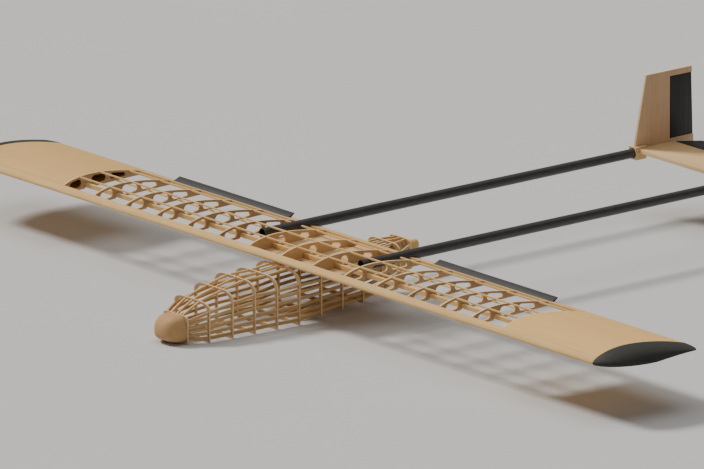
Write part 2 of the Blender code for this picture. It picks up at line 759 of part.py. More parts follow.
def former_outline(former, notched=True):
    """Outer edge of a former: flat deck, round shoulders, upright walls, flat belly."""
    _, deck_half, wall_half, top, bottom = former
    scale = wall_scale(top, bottom)
    drop = SHOULDER_DROP * scale
    corner = BELLY_CORNER * scale
    shoulder = [
        (deck_half + (wall_half - deck_half) * math.sin(turn), top - drop * (1 - math.cos(turn)))
        for turn in spread(0.0, math.pi / 2, 5)
    ]
    deck = wall = belly = other_wall = []
    if notched:
        wide = WALL_STRINGER_HEIGHT + 2 * NOTCH_GAP
        deep = WALL_STRINGER_DEPTH + FORMER_PROUD + NOTCH_GAP
        across = DECK_STRINGER_WIDTH + 2 * NOTCH_GAP
        down = DECK_STRINGER_DEPTH + NOTCH_GAP
        levels = wall_levels(top, bottom)
        deck = edge_notches(deck_places(deck_half), across, down, top, -1, False)
        wall = edge_notches(levels, wide, deep, wall_half, -1, True)
        belly = edge_notches(belly_places(wall_half)[::-1], across, down + FORMER_PROUD, bottom, 1, False)
        other_wall = edge_notches(levels[::-1], wide, deep, -wall_half, 1, True)
    left_shoulder = [(-x, z) for x, z in reversed(shoulder)]
    corners = [(wall_half, bottom + corner), (wall_half - corner, bottom)]
    other_corners = [(-wall_half + corner, bottom), (-wall_half, bottom + corner)]
    return left_shoulder + deck + shoulder + wall + corners + belly + other_corners + other_wall


def former_opening(former):
    """Inner edge of a former's ring, which follows its outer edge."""
    _, deck_half, wall_half, top, bottom = former
    scale = wall_scale(top, bottom)
    side = wall_half - FORMER_SIDE_RIM
    roof = top - FORMER_DECK_RIM
    floor = bottom + FORMER_SIDE_RIM
    drop = SHOULDER_DROP * scale
    corner = BELLY_CORNER * scale
    half = [
        (deck_half + (side - deck_half) * math.sin(turn), roof - drop * (1 - math.cos(turn)))
        for turn in spread(0.0, math.pi / 2, 4)
    ]
    half += [(side, floor + corner), (side - corner, floor)]
    return half[::-1] + [(-x, z) for x, z in half]


def pod_point(point):
    return (point[0], WING_EDGE_Z + point[1])


def make_formers():
    for number, former in enumerate(formers()[1:-1], 1):
        middle = WING_EDGE_Y + former[0]
        loops = [[pod_point(point) for point in former_outline(former)]]
        loops.append([pod_point(point) for point in former_opening(former)])
        low, high = middle - FORMER_THICKNESS / 2, middle + FORMER_THICKNESS / 2
        plate(f"pod_former_{number:02d}", loops, low, high, along_y, origin=(0.0, middle, WING_EDGE_Z + former[4]))


def strip(name, centres, width, height):
    """A straight-grained strip bent through a list of section centres."""
    rings = []
    for x, y, z in centres:
        a, b = width / 2, height / 2
        rings.append([(x - a, y, z - b), (x + a, y, z - b), (x + a, y, z + b), (x - a, y, z + b)])
    points, faces = loft_mesh(rings)
    return make_object(name, points, faces, "balsa")


def stringer_paths():
    """Section centres of every pod stringer, with its width and height."""
    paths = []
    for index in range(3):
        path = []
        for back, deck_half, _, top, _ in formers():
            path.append((deck_places(deck_half)[index], back, top - DECK_STRINGER_DEPTH / 2))
        paths.append((path, DECK_STRINGER_WIDTH, DECK_STRINGER_DEPTH))
        path = []
        for back, _, wall_half, _, bottom in formers():
            rise = bottom + FORMER_PROUD + DECK_STRINGER_DEPTH / 2
            path.append((belly_places(wall_half)[index], back, rise))
        paths.append((path, DECK_STRINGER_WIDTH, DECK_STRINGER_DEPTH))
    for side in (-1, 1):
        for level in range(WALL_STRINGERS):
            path = []
            for back, _, wall_half, top, bottom in formers():
                x = side * (wall_half - FORMER_PROUD - WALL_STRINGER_DEPTH / 2)
                path.append((x, back, wall_levels(top, bottom)[level]))
            paths.append((path, WALL_STRINGER_DEPTH, WALL_STRINGER_HEIGHT))
    return paths


def make_stringer_cage():
    """The pod's long strips, glued at their ends to a front ring and to the rear bulkhead."""
    pieces = bpy.data.collections.new("cage_pieces")
    bpy.context.scene.collection.children.link(pieces)
    for number, (path, width, height) in enumerate(stringer_paths()):
        centres = [(x, WING_EDGE_Y + back, WING_EDGE_Z + rise) for x, back, rise in path]
        piece = strip(f"cage_strip_{number}", centres, width, height)
        put_aside(piece, pieces)
    last = formers()[-1]
    outline = [pod_point(point) for point in former_outline(last, notched=False)]
    middle = WING_EDGE_Y + last[0]
    bulkhead = plate("cage_bulkhead", [outline], middle - FORMER_THICKNESS, middle + FORMER_THICKNESS, along_y)
    put_aside(bulkhead, pieces)
    first = formers()[0]
    middle = WING_EDGE_Y + first[0]
    loops = [[pod_point(point) for point in former_outline(first, notched=False)]]
    loops.append([pod_point(point) for point in former_opening(first)])
    front = WING_EDGE_Y + NOSE_BACK_Y + GAP
    cage = plate("pod_stringer_cage", loops, front, middle + FORMER_THICKNESS / 2, along_y)
    joined = cage.modifiers.new("glue", "BOOLEAN")
    joined.operation = "UNION"
    joined.operand_type = "COLLECTION"
    joined.collection = pieces


def put_aside(obj, collection):
    obj.hide_render = True
    obj.display_type = "WIRE"
    bpy.context.scene.collection.objects.unlink(obj)
    collection.objects.link(obj)


def make_nose_block():
    """A carved block: rounded rectangle sections shrinking to a blunt tip."""
    _, _, wall_half, top, bottom = formers()[0]
    middle = (top + bottom) / 2
    half_height = (top - bottom) / 2
    rings = []
    for share in (0.0, 0.3, 0.55, 0.75, 0.88, 0.96, 0.995):
        size = (1 - share**NOSE_BLUNTNESS) ** (1 / NOSE_BLUNTNESS)
        y = WING_EDGE_Y + NOSE_BACK_Y + (NOSE_TIP_Y - NOSE_BACK_Y) * share
        sink = -NOSE_SINK * share * (1 - size)
        ring = []
        for i in range(20):
            turn = 2 * math.pi * i / 20
            a = math.copysign(abs(math.cos(turn)) ** NOSE_ROUNDNESS, math.cos(turn))
            b = math.copysign(abs(math.sin(turn)) ** NOSE_ROUNDNESS, math.sin(turn))
            ring.append((wall_half * size * a, y, WING_EDGE_Z + middle + sink + half_height * size * b))
        rings.append(ring)
    points, faces = loft_mesh(rings)
    make_object("nose_block", points, faces, "balsa", smooth=True)


def make_motor_boss():
    front = WING_EDGE_Y + formers()[-1][0] + FORMER_THICKNESS + GAP
    height = WING_EDGE_Z - BOSS_DROP
    rod("motor_boss", (0.0, front, height), (0.0, front + BOSS_LENGTH, height), BOSS_RADIUS, "balsa", ROUND_SIDES)


def main():
    clear_scene()
    make_ribs()
    make_leading_edge()
    make_wing_stringers()
    make_main_spar()
    make_centre_floor()
    make_trailing_edges()
    make_outer_panels()
    make_tip_caps()
    make_ailerons()
    make_booms()
    make_sockets()
    make_fins()
    make_stabiliser()
    make_elevator()
    make_formers()
    make_stringer_cage()
    make_nose_block()
    make_motor_boss()


main()
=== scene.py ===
"""Looks of an uncovered twin-boom model airframe, dressed over its fixed frame.

Every piece is placed from the frame's own boxes. +X is port, +Y aft and +Z up, in metres.
"""

from __future__ import annotations

import logging
import math
import random
from dataclasses import dataclass, field
from enum import Enum
from typing import Callable, Sequence

import bmesh
import bpy
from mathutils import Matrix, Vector
from mathutils.geometry import tessellate_polygon

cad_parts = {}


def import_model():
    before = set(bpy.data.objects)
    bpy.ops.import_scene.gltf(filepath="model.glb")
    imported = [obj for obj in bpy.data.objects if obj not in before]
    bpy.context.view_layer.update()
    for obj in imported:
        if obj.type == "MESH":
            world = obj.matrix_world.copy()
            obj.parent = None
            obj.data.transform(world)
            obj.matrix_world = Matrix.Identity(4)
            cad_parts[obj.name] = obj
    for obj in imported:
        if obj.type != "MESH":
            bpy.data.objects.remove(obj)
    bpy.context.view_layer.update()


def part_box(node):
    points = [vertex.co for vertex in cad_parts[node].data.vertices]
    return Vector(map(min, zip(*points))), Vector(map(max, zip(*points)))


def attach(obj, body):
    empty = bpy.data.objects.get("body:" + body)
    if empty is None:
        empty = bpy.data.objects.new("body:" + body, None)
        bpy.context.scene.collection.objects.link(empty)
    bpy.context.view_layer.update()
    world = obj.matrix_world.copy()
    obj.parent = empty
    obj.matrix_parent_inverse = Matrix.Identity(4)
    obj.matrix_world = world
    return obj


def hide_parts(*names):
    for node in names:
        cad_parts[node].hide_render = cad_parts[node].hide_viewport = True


LOG = logging.getLogger("airframe")
AIRFRAME = "airframe"
SIDES = {"port": 1, "starboard": -1}
ACROSS, AFT, UP = (1.0, 0.0, 0.0), (0.0, 1.0, 0.0), (0.0, 0.0, 1.0)

Point = tuple[float, float, float]
Flat = tuple[float, float]
Colour = tuple[float, float, float]
Shell = tuple[list[Point], list[tuple[int, ...]]]


class Grain(Enum):
    """Which way the wood's fibres run, as the stretch of its pattern along X, Y and Z."""

    SPAN = (0.045, 1.0, 1.0)
    LENGTH = (1.0, 0.045, 1.0)
    UPRIGHT = (1.0, 1.0, 0.045)


class Shade(Enum):
    """How finely a mesh's corners are kept when it is shaded."""

    FACETED = 0
    SOFT = 35
    ROUND = 60


# --- shader node groups --------------------------------------------------------------------------


class GroupMaker:
    """Builds one shader node group with named inputs and outputs."""

    def __init__(self, name: str) -> None:
        """Starts an empty group.

        Args:
            name: the group's name.
        """
        self.tree = bpy.data.node_groups.new(name, "ShaderNodeTree")
        self.start = self.tree.nodes.new("NodeGroupInput")
        self.end = self.tree.nodes.new("NodeGroupOutput")

    def takes(self, name: str, kind: str, value: object) -> bpy.types.NodeSocket:
        """Adds an input.

        Args:
            name: the input's name.
            kind: its socket type, such as Color or Float.
            value: what it holds when nothing is linked.

        Returns:
            The socket that carries it inside the group.
        """
        item = self.tree.interface.new_socket(name, in_out="INPUT", socket_type=f"NodeSocket{kind}")
        item.default_value = value
        return self.start.outputs[name]

    def gives(self, name: str, kind: str, source: bpy.types.NodeSocket) -> None:
        """Adds an output fed by a socket."""
        self.tree.interface.new_socket(name, in_out="OUTPUT", socket_type=f"NodeSocket{kind}")
        self.tree.links.new(source, self.end.inputs[name])

    def node(self, kind: str, links: dict[str | int, object], **settings: object) -> bpy.types.Node:
        """Adds a node, sets its options, and links or sets its inputs.

        Args:
            kind: the node's type.
            links: input name or number, to a socket or a plain value.
            settings: the node's own options.

        Returns:
            The new node.
        """
        return add_node(self.tree, kind, links, **settings)

    def math(self, operation: str, a: object, b: object = 0.0, clamp: bool = False) -> bpy.types.NodeSocket:
        """Returns the result of one math step."""
        return self.node("ShaderNodeMath", {0: a, 1: b}, operation=operation, use_clamp=clamp).outputs[0]

    def vector(self, operation: str, a: object, b: object) -> bpy.types.NodeSocket:
        """Returns the vector result of one vector step."""
        return self.node("ShaderNodeVectorMath", {0: a, 1: b}, operation=operation).outputs[0]

    def noise(self, place: object, scale: object, detail: float, twist: float = 0.0) -> bpy.types.NodeSocket:
        """Returns the value of a noise pattern."""
        links = {"Vector": place, "Scale": scale, "Detail": detail, "Distortion": twist}
        return self.node("ShaderNodeTexNoise", links).outputs["Fac"]

    def ramp(self, value: object, low: float, high: float) -> bpy.types.NodeSocket:
        """Returns a value stretched from the given range to 0..1."""
        links = {"Value": value, "From Min": low, "From Max": high}
        return self.node("ShaderNodeMapRange", links, clamp=True).outputs["Result"]

    def blend(self, share: object, a: object, b: object, mode: str = "MIX") -> bpy.types.NodeSocket:
        """Mixes two colours.

        Args:
            share: how much of the second one shows.
            a: the first colour.
            b: the second colour.
            mode: how they are mixed.

        Returns:
            The mixed colour.
        """
        mixer = self.node("ShaderNodeMix", {}, data_type="RGBA", blend_type=mode)
        for index, value in ((0, share), (6, a), (7, b)):
            feed(self.tree, mixer.inputs[index], value)
        return mixer.outputs[2]


def feed(tree: bpy.types.NodeTree, target: bpy.types.NodeSocket, value: object) -> None:
    """Links a socket to another, or sets its plain value.

    Args:
        tree: the tree that holds the target.
        target: the input to feed.
        value: a socket or a plain value.
    """
    if isinstance(value, bpy.types.NodeSocket):
        tree.links.new(value, target)
    else:
        target.default_value = value


def add_node(
    tree: bpy.types.NodeTree, kind: str, links: dict[str | int, object], **settings: object
) -> bpy.types.Node:
    """Adds a node to a tree with its options set and its inputs fed.

    Args:
        tree: the tree that it goes into.
        kind: the node's type.
        links: input name or number, to a socket or a plain value.
        settings: the node's own options.

    Returns:
        The new node.
    """
    node = tree.nodes.new(kind)
    for key, value in settings.items():
        setattr(node, key, value)
    for key, value in links.items():
        feed(tree, node.inputs[key], value)
    return node


BAND_SCALE, PORE_SCALE, CLOUD_SCALE = 0.11, 3.2, 14.0
FIBRE_WEIGHT, BAND_WEIGHT, CLOUD_WEIGHT = 0.45, 0.35, 0.20
PORE_DARKNESS, FIBRE_HEIGHT, PORE_DEPTH = 0.30, 0.6, 0.5
SMEAR_SCALE = 32.0
GRIME = (0.62, 0.58, 0.54, 1.0)
WINDING_SCALE = (90.0, 240.0)
FLECK_SCALE = 700.0


def wood_grain_group() -> bpy.types.NodeTree:
    """Straight fibres, broad tone bands and small open pores along one axis.

    Returns:
        The group.
    """
    maker = GroupMaker("wood_grain")
    light = maker.takes("Light", "Color", (0.6, 0.45, 0.28, 1.0))
    dark = maker.takes("Dark", "Color", (0.4, 0.28, 0.15, 1.0))
    stretch = maker.takes("Stretch", "Vector", (1.0, 1.0, 1.0))
    fineness = maker.takes("Fineness", "Float", 420.0)
    shift = maker.takes("Shift", "Float", 0.0)
    place = maker.node("ShaderNodeTexCoord", {}).outputs["Object"]
    moved = maker.vector("ADD", maker.vector("MULTIPLY", place, stretch), shift)
    fibres = maker.ramp(maker.noise(moved, fineness, 5.0, 0.35), 0.30, 0.70)
    bands = maker.ramp(maker.noise(moved, maker.math("MULTIPLY", fineness, BAND_SCALE), 2.0), 0.32, 0.68)
    pores = maker.ramp(maker.noise(moved, maker.math("MULTIPLY", fineness, PORE_SCALE), 2.0), 0.60, 0.78)
    clouds = maker.ramp(maker.noise(place, CLOUD_SCALE, 2.0), 0.30, 0.70)
    fibre_part = maker.math("MULTIPLY", fibres, FIBRE_WEIGHT)
    mixed = maker.math("ADD", fibre_part, maker.math("MULTIPLY", bands, BAND_WEIGHT))
    mixed = maker.math("ADD", mixed, maker.math("MULTIPLY", clouds, CLOUD_WEIGHT), clamp=True)
    colour = maker.blend(mixed, dark, light)
    colour = maker.blend(maker.math("MULTIPLY", pores, PORE_DARKNESS), colour, dark)
    maker.gives("Color", "Color", colour)
    maker.gives("Fibres", "Float", fibres)
    raised = maker.math("MULTIPLY", fibres, FIBRE_HEIGHT)
    sunk = maker.math("MULTIPLY", pores, PORE_DEPTH)
    maker.gives("Height", "Float", maker.math("SUBTRACT", raised, sunk))
    return maker.tree


def painted_edge_light_group() -> bpy.types.NodeTree:
    """Paints a highlight onto the edge faces of a sheet part, the faces across its thin axis, as if light
    caught them.

    Returns:
        The group.
    """
    maker = GroupMaker("cut_edge")
    colour = maker.takes("Color", "Color", (0.6, 0.45, 0.28, 1.0))
    edge = maker.takes("Edge", "Color", (0.6, 0.45, 0.28, 1.0))
    axis = maker.takes("Sheet Axis", "Vector", ACROSS)
    amount = maker.takes("Amount", "Float", 0.6)
    normal = maker.node("ShaderNodeTexCoord", {}).outputs["Normal"]
    facing = maker.node("ShaderNodeVectorMath", {0: normal, 1: axis}, operation="DOT_PRODUCT")
    across = maker.math("SUBTRACT", 1.0, maker.math("ABSOLUTE", facing.outputs["Value"]), clamp=True)
    # painted highlight: faces across the sheet axis are mixed towards the bright edge colour
    maker.gives("Color", "Color", maker.blend(maker.math("MULTIPLY", across, amount), colour, edge))
    return maker.tree


def handling_group() -> bpy.types.NodeTree:
    """Faint grey marks from fingers, dust and sanding.

    Returns:
        The group.
    """
    maker = GroupMaker("handling")
    colour = maker.takes("Color", "Color", (0.6, 0.45, 0.28, 1.0))
    tone = maker.takes("Tone", "Float", 1.0)
    amount = maker.takes("Amount", "Float", 0.15)
    place = maker.node("ShaderNodeTexCoord", {}).outputs["Object"]
    smears = maker.ramp(maker.noise(place, SMEAR_SCALE, 4.0, 0.8), 0.55, 0.80)
    grey = maker.node("ShaderNodeCombineColor", {0: tone, 1: tone, 2: tone}).outputs[0]
    toned = maker.blend(1.0, colour, grey, "MULTIPLY")
    grimy = maker.blend(1.0, toned, GRIME, "MULTIPLY")
    maker.gives("Color", "Color", maker.blend(maker.math("MULTIPLY", smears, amount), toned, grimy))
    maker.gives("Smears", "Float", smears)
    return maker.tree


def step_tone_group() -> bpy.types.NodeTree:
    """A tone of its own for each copy in a row, such as ribs cut from different sheets.

    Returns:
        The group.
    """
    maker = GroupMaker("step_tone")
    pitch = maker.takes("Pitch", "Float", 0.072)
    spread = maker.takes("Spread", "Float", 0.08)
    place = maker.node("ShaderNodeTexCoord", {}).outputs["Object"]
    across = maker.node("ShaderNodeSeparateXYZ", {0: place}).outputs["X"]
    number = maker.math("ROUND", maker.math("DIVIDE", across, pitch))
    chance = maker.node("ShaderNodeTexWhiteNoise", {"W": number}, noise_dimensions="1D").outputs["Value"]
    swing = maker.math("MULTIPLY", maker.math("SUBTRACT", chance, 0.5), maker.math("MULTIPLY", spread, 2.0))
    maker.gives("Tone", "Float", maker.math("ADD", swing, 1.0))
    return maker.tree


def wound_fibre_group() -> bpy.types.NodeTree:
    """Crossed windings on a tube, read from its UV map.

    Returns:
        The group.
    """
    maker = GroupMaker("wound_fibre")
    base = maker.takes("Base", "Color", (0.03, 0.03, 0.033, 1.0))
    sheen = maker.takes("Sheen", "Color", (0.06, 0.055, 0.055, 1.0))
    place = maker.node("ShaderNodeUVMap", {}, uv_map="wrap").outputs["UV"]
    waves = []
    for lean in (1.0, -1.0):
        leaned = maker.vector("MULTIPLY", place, (WINDING_SCALE[0] * lean, WINDING_SCALE[1], 0.0))
        parts = maker.node("ShaderNodeSeparateXYZ", {0: leaned})
        phase = maker.math("ADD", parts.outputs["X"], parts.outputs["Y"])
        waves.append(maker.math("SINE", phase))
    cross = maker.ramp(maker.math("ADD", waves[0], waves[1]), -1.6, 1.6)
    fine = maker.noise(place, FLECK_SCALE, 3.0)
    maker.gives("Color", "Color", maker.blend(maker.math("MULTIPLY", cross, fine), base, sheen))
    maker.gives("Height", "Float", cross)
    return maker.tree


class Groups:
    """The shared effects, each built once."""

    def __init__(self) -> None:
        """Builds every group."""
        self.grain = wood_grain_group()
        self.edge = painted_edge_light_group()
        self.handling = handling_group()
        self.step = step_tone_group()
        self.winding = wound_fibre_group()


# --- finishes ------------------------------------------------------------------------------------


ROUGHNESS_SWING = 0.06
RIB_TONE_SPREAD = 0.09
TONE_RANGE = (0.93, 1.05)
SHIFT_RANGE = (0.0, 40.0)
BUMP_STRENGTH = 0.6


def shaded_material(name: str) -> tuple[bpy.types.Material, bpy.types.Node]:
    """Makes a new node material.

    Args:
        name: the material's name.

    Returns:
        The material and its principled shader.
    """
    material = bpy.data.materials.new(name)
    material.use_nodes = True
    return material, material.node_tree.nodes["Principled BSDF"]


def place_group(
    tree: bpy.types.NodeTree, group: bpy.types.NodeTree, links: dict[str | int, object]
) -> bpy.types.Node:
    """Puts a shared effect into a material with its own values.

    Args:
        tree: the material's tree.
        group: the shared effect.
        links: input name to a socket or a plain value.

    Returns:
        The node that holds the effect.
    """
    node = tree.nodes.new("ShaderNodeGroup")
    node.node_tree = group
    for key, value in links.items():
        feed(tree, node.inputs[key], value)
    return node


def bump(
    tree: bpy.types.NodeTree, shader: bpy.types.Node, height: bpy.types.NodeSocket, depth: float
) -> None:
    """Raises a surface by a height pattern.

    Args:
        tree: the material's tree.
        shader: the material's shader.
        height: the pattern.
        depth: its depth in metres.
    """
    links = {"Height": height, "Strength": BUMP_STRENGTH, "Distance": depth}
    node = add_node(tree, "ShaderNodeBump", links)
    tree.links.new(node.outputs["Normal"], shader.inputs["Normal"])


def rough_from(
    tree: bpy.types.NodeTree, shader: bpy.types.Node, mask: bpy.types.NodeSocket, low: float, high: float
) -> None:
    """Feeds the roughness from a mask, between its values at 0 and at 1."""
    node = add_node(tree, "ShaderNodeMapRange", {"Value": mask, "To Min": low, "To Max": high})
    tree.links.new(node.outputs["Result"], shader.inputs["Roughness"])


@dataclass(frozen=True)
class WoodFinish:
    """Bare or stained wood, told apart by its two tones and how much its fibres show."""

    name: str
    light: Colour
    dark: Colour
    # edge: a painted highlight colour for a sheet part's edge faces; edge_light_amount says how strongly it
    # is laid on
    edge: Colour = (0.90, 0.62, 0.30)
    fineness: float = 420.0
    roughness: float = 0.78
    depth: float = 0.00012
    grime: float = 0.25
    edge_light_amount: float = 0.0

    def build(
        self, groups: Groups, piece: str, grain: Grain, axis: Point = ACROSS, pitch: float = 0.0
    ) -> bpy.types.Material:
        """Makes the material of one piece, with a tone of its own.

        Args:
            groups: the shared effects.
            piece: the piece's name, which seeds its tone.
            grain: which way the fibres run.
            axis: the sheet's thin direction, for the painted highlight on its edges.
            pitch: the spacing of a row of copies, or 0 for a single piece.

        Returns:
            The material.
        """
        chance = random.Random(piece)
        material, shader = shaded_material(f"{self.name}_{piece}")
        tree = material.node_tree
        wood = place_group(tree, groups.grain, {
            "Light": (*self.light, 1.0),
            "Dark": (*self.dark, 1.0),
            "Stretch": grain.value,
            "Fineness": self.fineness,
            "Shift": chance.uniform(*SHIFT_RANGE),
        })
        colour = wood.outputs["Color"]
        # painted highlight on the edge faces of sheet parts
        if self.edge_light_amount > 0.0:
            links = {"Color": colour, "Edge": (*self.edge, 1.0), "Sheet Axis": axis}
            links["Amount"] = self.edge_light_amount
            colour = place_group(tree, groups.edge, links).outputs["Color"]
        tone: object = chance.uniform(*TONE_RANGE)
        if pitch > 0.0:
            links = {"Pitch": pitch, "Spread": RIB_TONE_SPREAD}
            tone = place_group(tree, groups.step, links).outputs["Tone"]
        marks = place_group(tree, groups.handling, {"Color": colour, "Tone": tone, "Amount": self.grime})
        tree.links.new(marks.outputs["Color"], shader.inputs["Base Color"])
        rough, smooth = self.roughness + ROUGHNESS_SWING, self.roughness - ROUGHNESS_SWING
        rough_from(tree, shader, wood.outputs["Fibres"], rough, smooth)
        bump(tree, shader, wood.outputs["Height"], self.depth)
        return material


@dataclass(frozen=True)
class TubeFinish:
    """Satin wound-fibre tube."""

    name: str = "wound_tube"
    base: Colour = (0.033, 0.031, 0.031)
    sheen: Colour = (0.048, 0.044, 0.043)
    valley_roughness: float = 0.46
    ridge_roughness: float = 0.38
    coat: float = 0.15
    coat_roughness: float = 0.3
    depth: float = 0.00003

    def build(self, groups: Groups, piece: str) -> bpy.types.Material:
        """Makes the tube's material.

        Args:
            groups: the shared effects.
            piece: the piece's name.

        Returns:
            The material.
        """
        material, shader = shaded_material(f"{self.name}_{piece}")
        tree = material.node_tree
        links = {"Base": (*self.base, 1.0), "Sheen": (*self.sheen, 1.0)}
        winding = place_group(tree, groups.winding, links)
        height = winding.outputs["Height"]
        tree.links.new(winding.outputs["Color"], shader.inputs["Base Color"])
        shader.inputs["Coat Weight"].default_value = self.coat
        shader.inputs["Coat Roughness"].default_value = self.coat_roughness
        rough_from(tree, shader, height, self.valley_roughness, self.ridge_roughness)
        bump(tree, shader, height, self.depth)
        return material


@dataclass(frozen=True)
class WireFinish:
    """Bare spring wire with fine drawing marks."""

    name: str = "spring_wire"
    light: Colour = (0.42, 0.42, 0.44)
    dark: Colour = (0.30, 0.30, 0.31)
    fineness: float = 1400.0
    mark_roughness: float = 0.38
    smooth_roughness: float = 0.26

    def build(self, groups: Groups, piece: str, grain: Grain) -> bpy.types.Material:
        """Makes the wire's material.

        Args:
            groups: the shared effects.
            piece: the piece's name.
            grain: which way the wire was drawn.

        Returns:
            The material.
        """
        material, shader = shaded_material(f"{self.name}_{piece}")
        tree = material.node_tree
        links = {
            "Light": (*self.light, 1.0),
            "Dark": (*self.dark, 1.0),
            "Stretch": grain.value,
            "Fineness": self.fineness,
        }
        drawn = place_group(tree, groups.grain, links)
        tree.links.new(drawn.outputs["Color"], shader.inputs["Base Color"])
        shader.inputs["Metallic"].default_value = 1.0
        rough_from(tree, shader, drawn.outputs["Fibres"], self.mark_roughness, self.smooth_roughness)
        return material


@dataclass(frozen=True)
class GlueFinish:
    """Clear yellowish glue beads at the joints."""

    name: str = "glue"
    colour: Colour = (0.50, 0.36, 0.17)
    grime: float = 0.4
    coat: float = 0.3
    clean_roughness: float = 0.30
    smeared_roughness: float = 0.50

    def build(self, groups: Groups, piece: str) -> bpy.types.Material:
        """Makes the glue's material.

        Args:
            groups: the shared effects.
            piece: the piece's name.

        Returns:
            The material.
        """
        material, shader = shaded_material(f"{self.name}_{piece}")
        tree = material.node_tree
        links = {"Color": (*self.colour, 1.0), "Tone": 1.0, "Amount": self.grime}
        marks = place_group(tree, groups.handling, links)
        tree.links.new(marks.outputs["Color"], shader.inputs["Base Color"])
        shader.inputs["Coat Weight"].default_value = self.coat
        rough_from(tree, shader, marks.outputs["Smears"], self.clean_roughness, self.smeared_roughness)
        return material


STICK = WoodFinish("balsa_stick", (0.86, 0.565, 0.235), (0.68, 0.420, 0.155), depth=0.0001)
# Painted shade: a darker copy of the strip wood for the pod's wall strips, as if their sides lay in shade.
SHADED_WALL_STRIP = WoodFinish("wall_strip", (0.66, 0.445, 0.225), (0.48, 0.305, 0.140), depth=0.0001)
# Sheet finishes: the third colour is a painted highlight for the edge faces, lighter than the faces,
# standing for edges that catch the light.
SHEET = WoodFinish(
    "balsa_sheet", (0.56, 0.365, 0.190), (0.40, 0.245, 0.120), (0.92, 0.62, 0.29),
    fineness=330.0, edge_light_amount=0.95,
)
# A paler copy of the sheet wood. On the centre ribs and the centre floor it is painted light.
PALE_SHEET = WoodFinish(
    "pale_sheet", (0.76, 0.525, 0.270), (0.60, 0.395, 0.190), (0.90, 0.61, 0.30),
    fineness=330.0, edge_light_amount=0.9,
)
FIN_SHEET = WoodFinish(
    "fin_sheet", (0.66, 0.460, 0.285), (0.54, 0.365, 0.215), (0.90, 0.66, 0.40),
    fineness=300.0, edge_light_amount=0.9,
)
BLOCK = WoodFinish("balsa_block", (0.80, 0.500, 0.185), (0.71, 0.425, 0.145), fineness=240.0)
CARVED = WoodFinish(
    "carved_block", (0.62, 0.370, 0.165), (0.48, 0.270, 0.112), fineness=200.0, depth=0.00015
)
STAINED = WoodFinish(
    "stained", (0.030, 0.029, 0.029), (0.014, 0.014, 0.014), roughness=0.6, depth=0.00006
)
TIP = WoodFinish(
    "tip_stain", (0.028, 0.029, 0.024), (0.017, 0.018, 0.014), roughness=0.72, depth=0.00006
)


# --- mesh helpers --------------------------------------------------------------------------------


JOIN_DISTANCE = 1e-6
FRAME_JOIN_DISTANCE = 2e-6
FLAT_ANGLE = 1.0
SANDED_ANGLE = 40
SANDING_STEPS = 2


def make_piece(
    name: str, points: Sequence[Point], faces: Sequence[Sequence[int]], shade: Shade, clean: bool = True
) -> bpy.types.Object:
    """Builds a mesh object at the origin with closed seams and faces pointing out.

    Args:
        name: the piece's name.
        points: its points in the frame, in metres.
        faces: its faces as point numbers.
        shade: how its corners are kept.
        clean: whether to merge doubles and turn the normals outwards.

    Returns:
        The object.
    """
    mesh = bpy.data.meshes.new(name)
    mesh.from_pydata([tuple(point) for point in points], [], [tuple(face) for face in faces])
    if clean:
        work = bmesh.new()
        work.from_mesh(mesh)
        bmesh.ops.remove_doubles(work, verts=work.verts, dist=JOIN_DISTANCE)
        bmesh.ops.recalc_face_normals(work, faces=work.faces)
        work.to_mesh(mesh)
        work.free()
    shade_mesh(mesh, shade)
    obj = bpy.data.objects.new(name, mesh)
    bpy.context.scene.collection.objects.link(obj)
    return obj


def shade_mesh(mesh: bpy.types.Mesh, shade: Shade) -> None:
    """Shades a mesh smooth up to a corner angle, or leaves it flat.

    Args:
        mesh: the mesh.
        shade: how its corners are kept.
    """
    if shade is Shade.FACETED:
        mesh.shade_flat()
        return
    mesh.shade_smooth()
    mesh.set_sharp_from_angle(angle=math.radians(shade.value))


def loft(rings: Sequence[Sequence[Point]]) -> Shell:
    """Joins rings of equal size and caps both ends.

    Args:
        rings: the rings, in order.

    Returns:
        Its points and faces.
    """
    size = len(rings[0])
    points = [point for ring in rings for point in ring]
    faces: list[tuple[int, ...]] = [tuple(range(size)), tuple(range(len(points) - size, len(points)))]
    for level in range(len(rings) - 1):
        for i in range(size):
            a, b = level * size + i, level * size + (i + 1) % size
            faces.append((a, b, b + size, a + size))
    return points, faces


def slab(
    loops: Sequence[Sequence[Flat]],
    low: float,
    high: float,
    place: Callable[[float, float, float], Point],
) -> Shell:
    """Thickens a flat outline with holes.

    Args:
        loops: the outline, then each hole.
        low: the depth of its first face.
        high: the depth of its second face.
        place: turns a flat point and a depth into a point in the frame.

    Returns:
        Its points and faces.
    """
    flat = [point for loop in loops for point in loop]
    triangles = tessellate_polygon([[Vector((a, b, 0.0)) for a, b in loop] for loop in loops])
    count = len(flat)
    points = [place(a, b, low) for a, b in flat] + [place(a, b, high) for a, b in flat]
    faces: list[tuple[int, ...]] = [tuple(t) for t in triangles]
    faces += [tuple(i + count for i in reversed(t)) for t in triangles]
    start = 0
    for loop in loops:
        size = len(loop)
        for i in range(size):
            a, b = start + i, start + (i + 1) % size
            faces.append((a, b, b + count, a + count))
        start += size
    return points, faces


def spread(low: float, high: float, count: int) -> list[float]:
    """Returns evenly spaced values from low to high."""
    return [low + (high - low) * i / (count - 1) for i in range(count)]


def evaluated_copy(obj: bpy.types.Object, name: str, shade: Shade) -> bpy.types.Object:
    """Turns an object's modifiers into a plain mesh under a new name, and drops the first object.

    Args:
        obj: the object with modifiers.
        name: the new object's name.
        shade: how the result's corners are kept.

    Returns:
        The new object.
    """
    graph = bpy.context.evaluated_depsgraph_get()
    mesh = bpy.data.meshes.new_from_object(obj.evaluated_get(graph), depsgraph=graph)
    mesh.name = name
    bpy.data.objects.remove(obj)
    shade_mesh(mesh, shade)
    made = bpy.data.objects.new(name, mesh)
    bpy.context.scene.collection.objects.link(made)
    return made


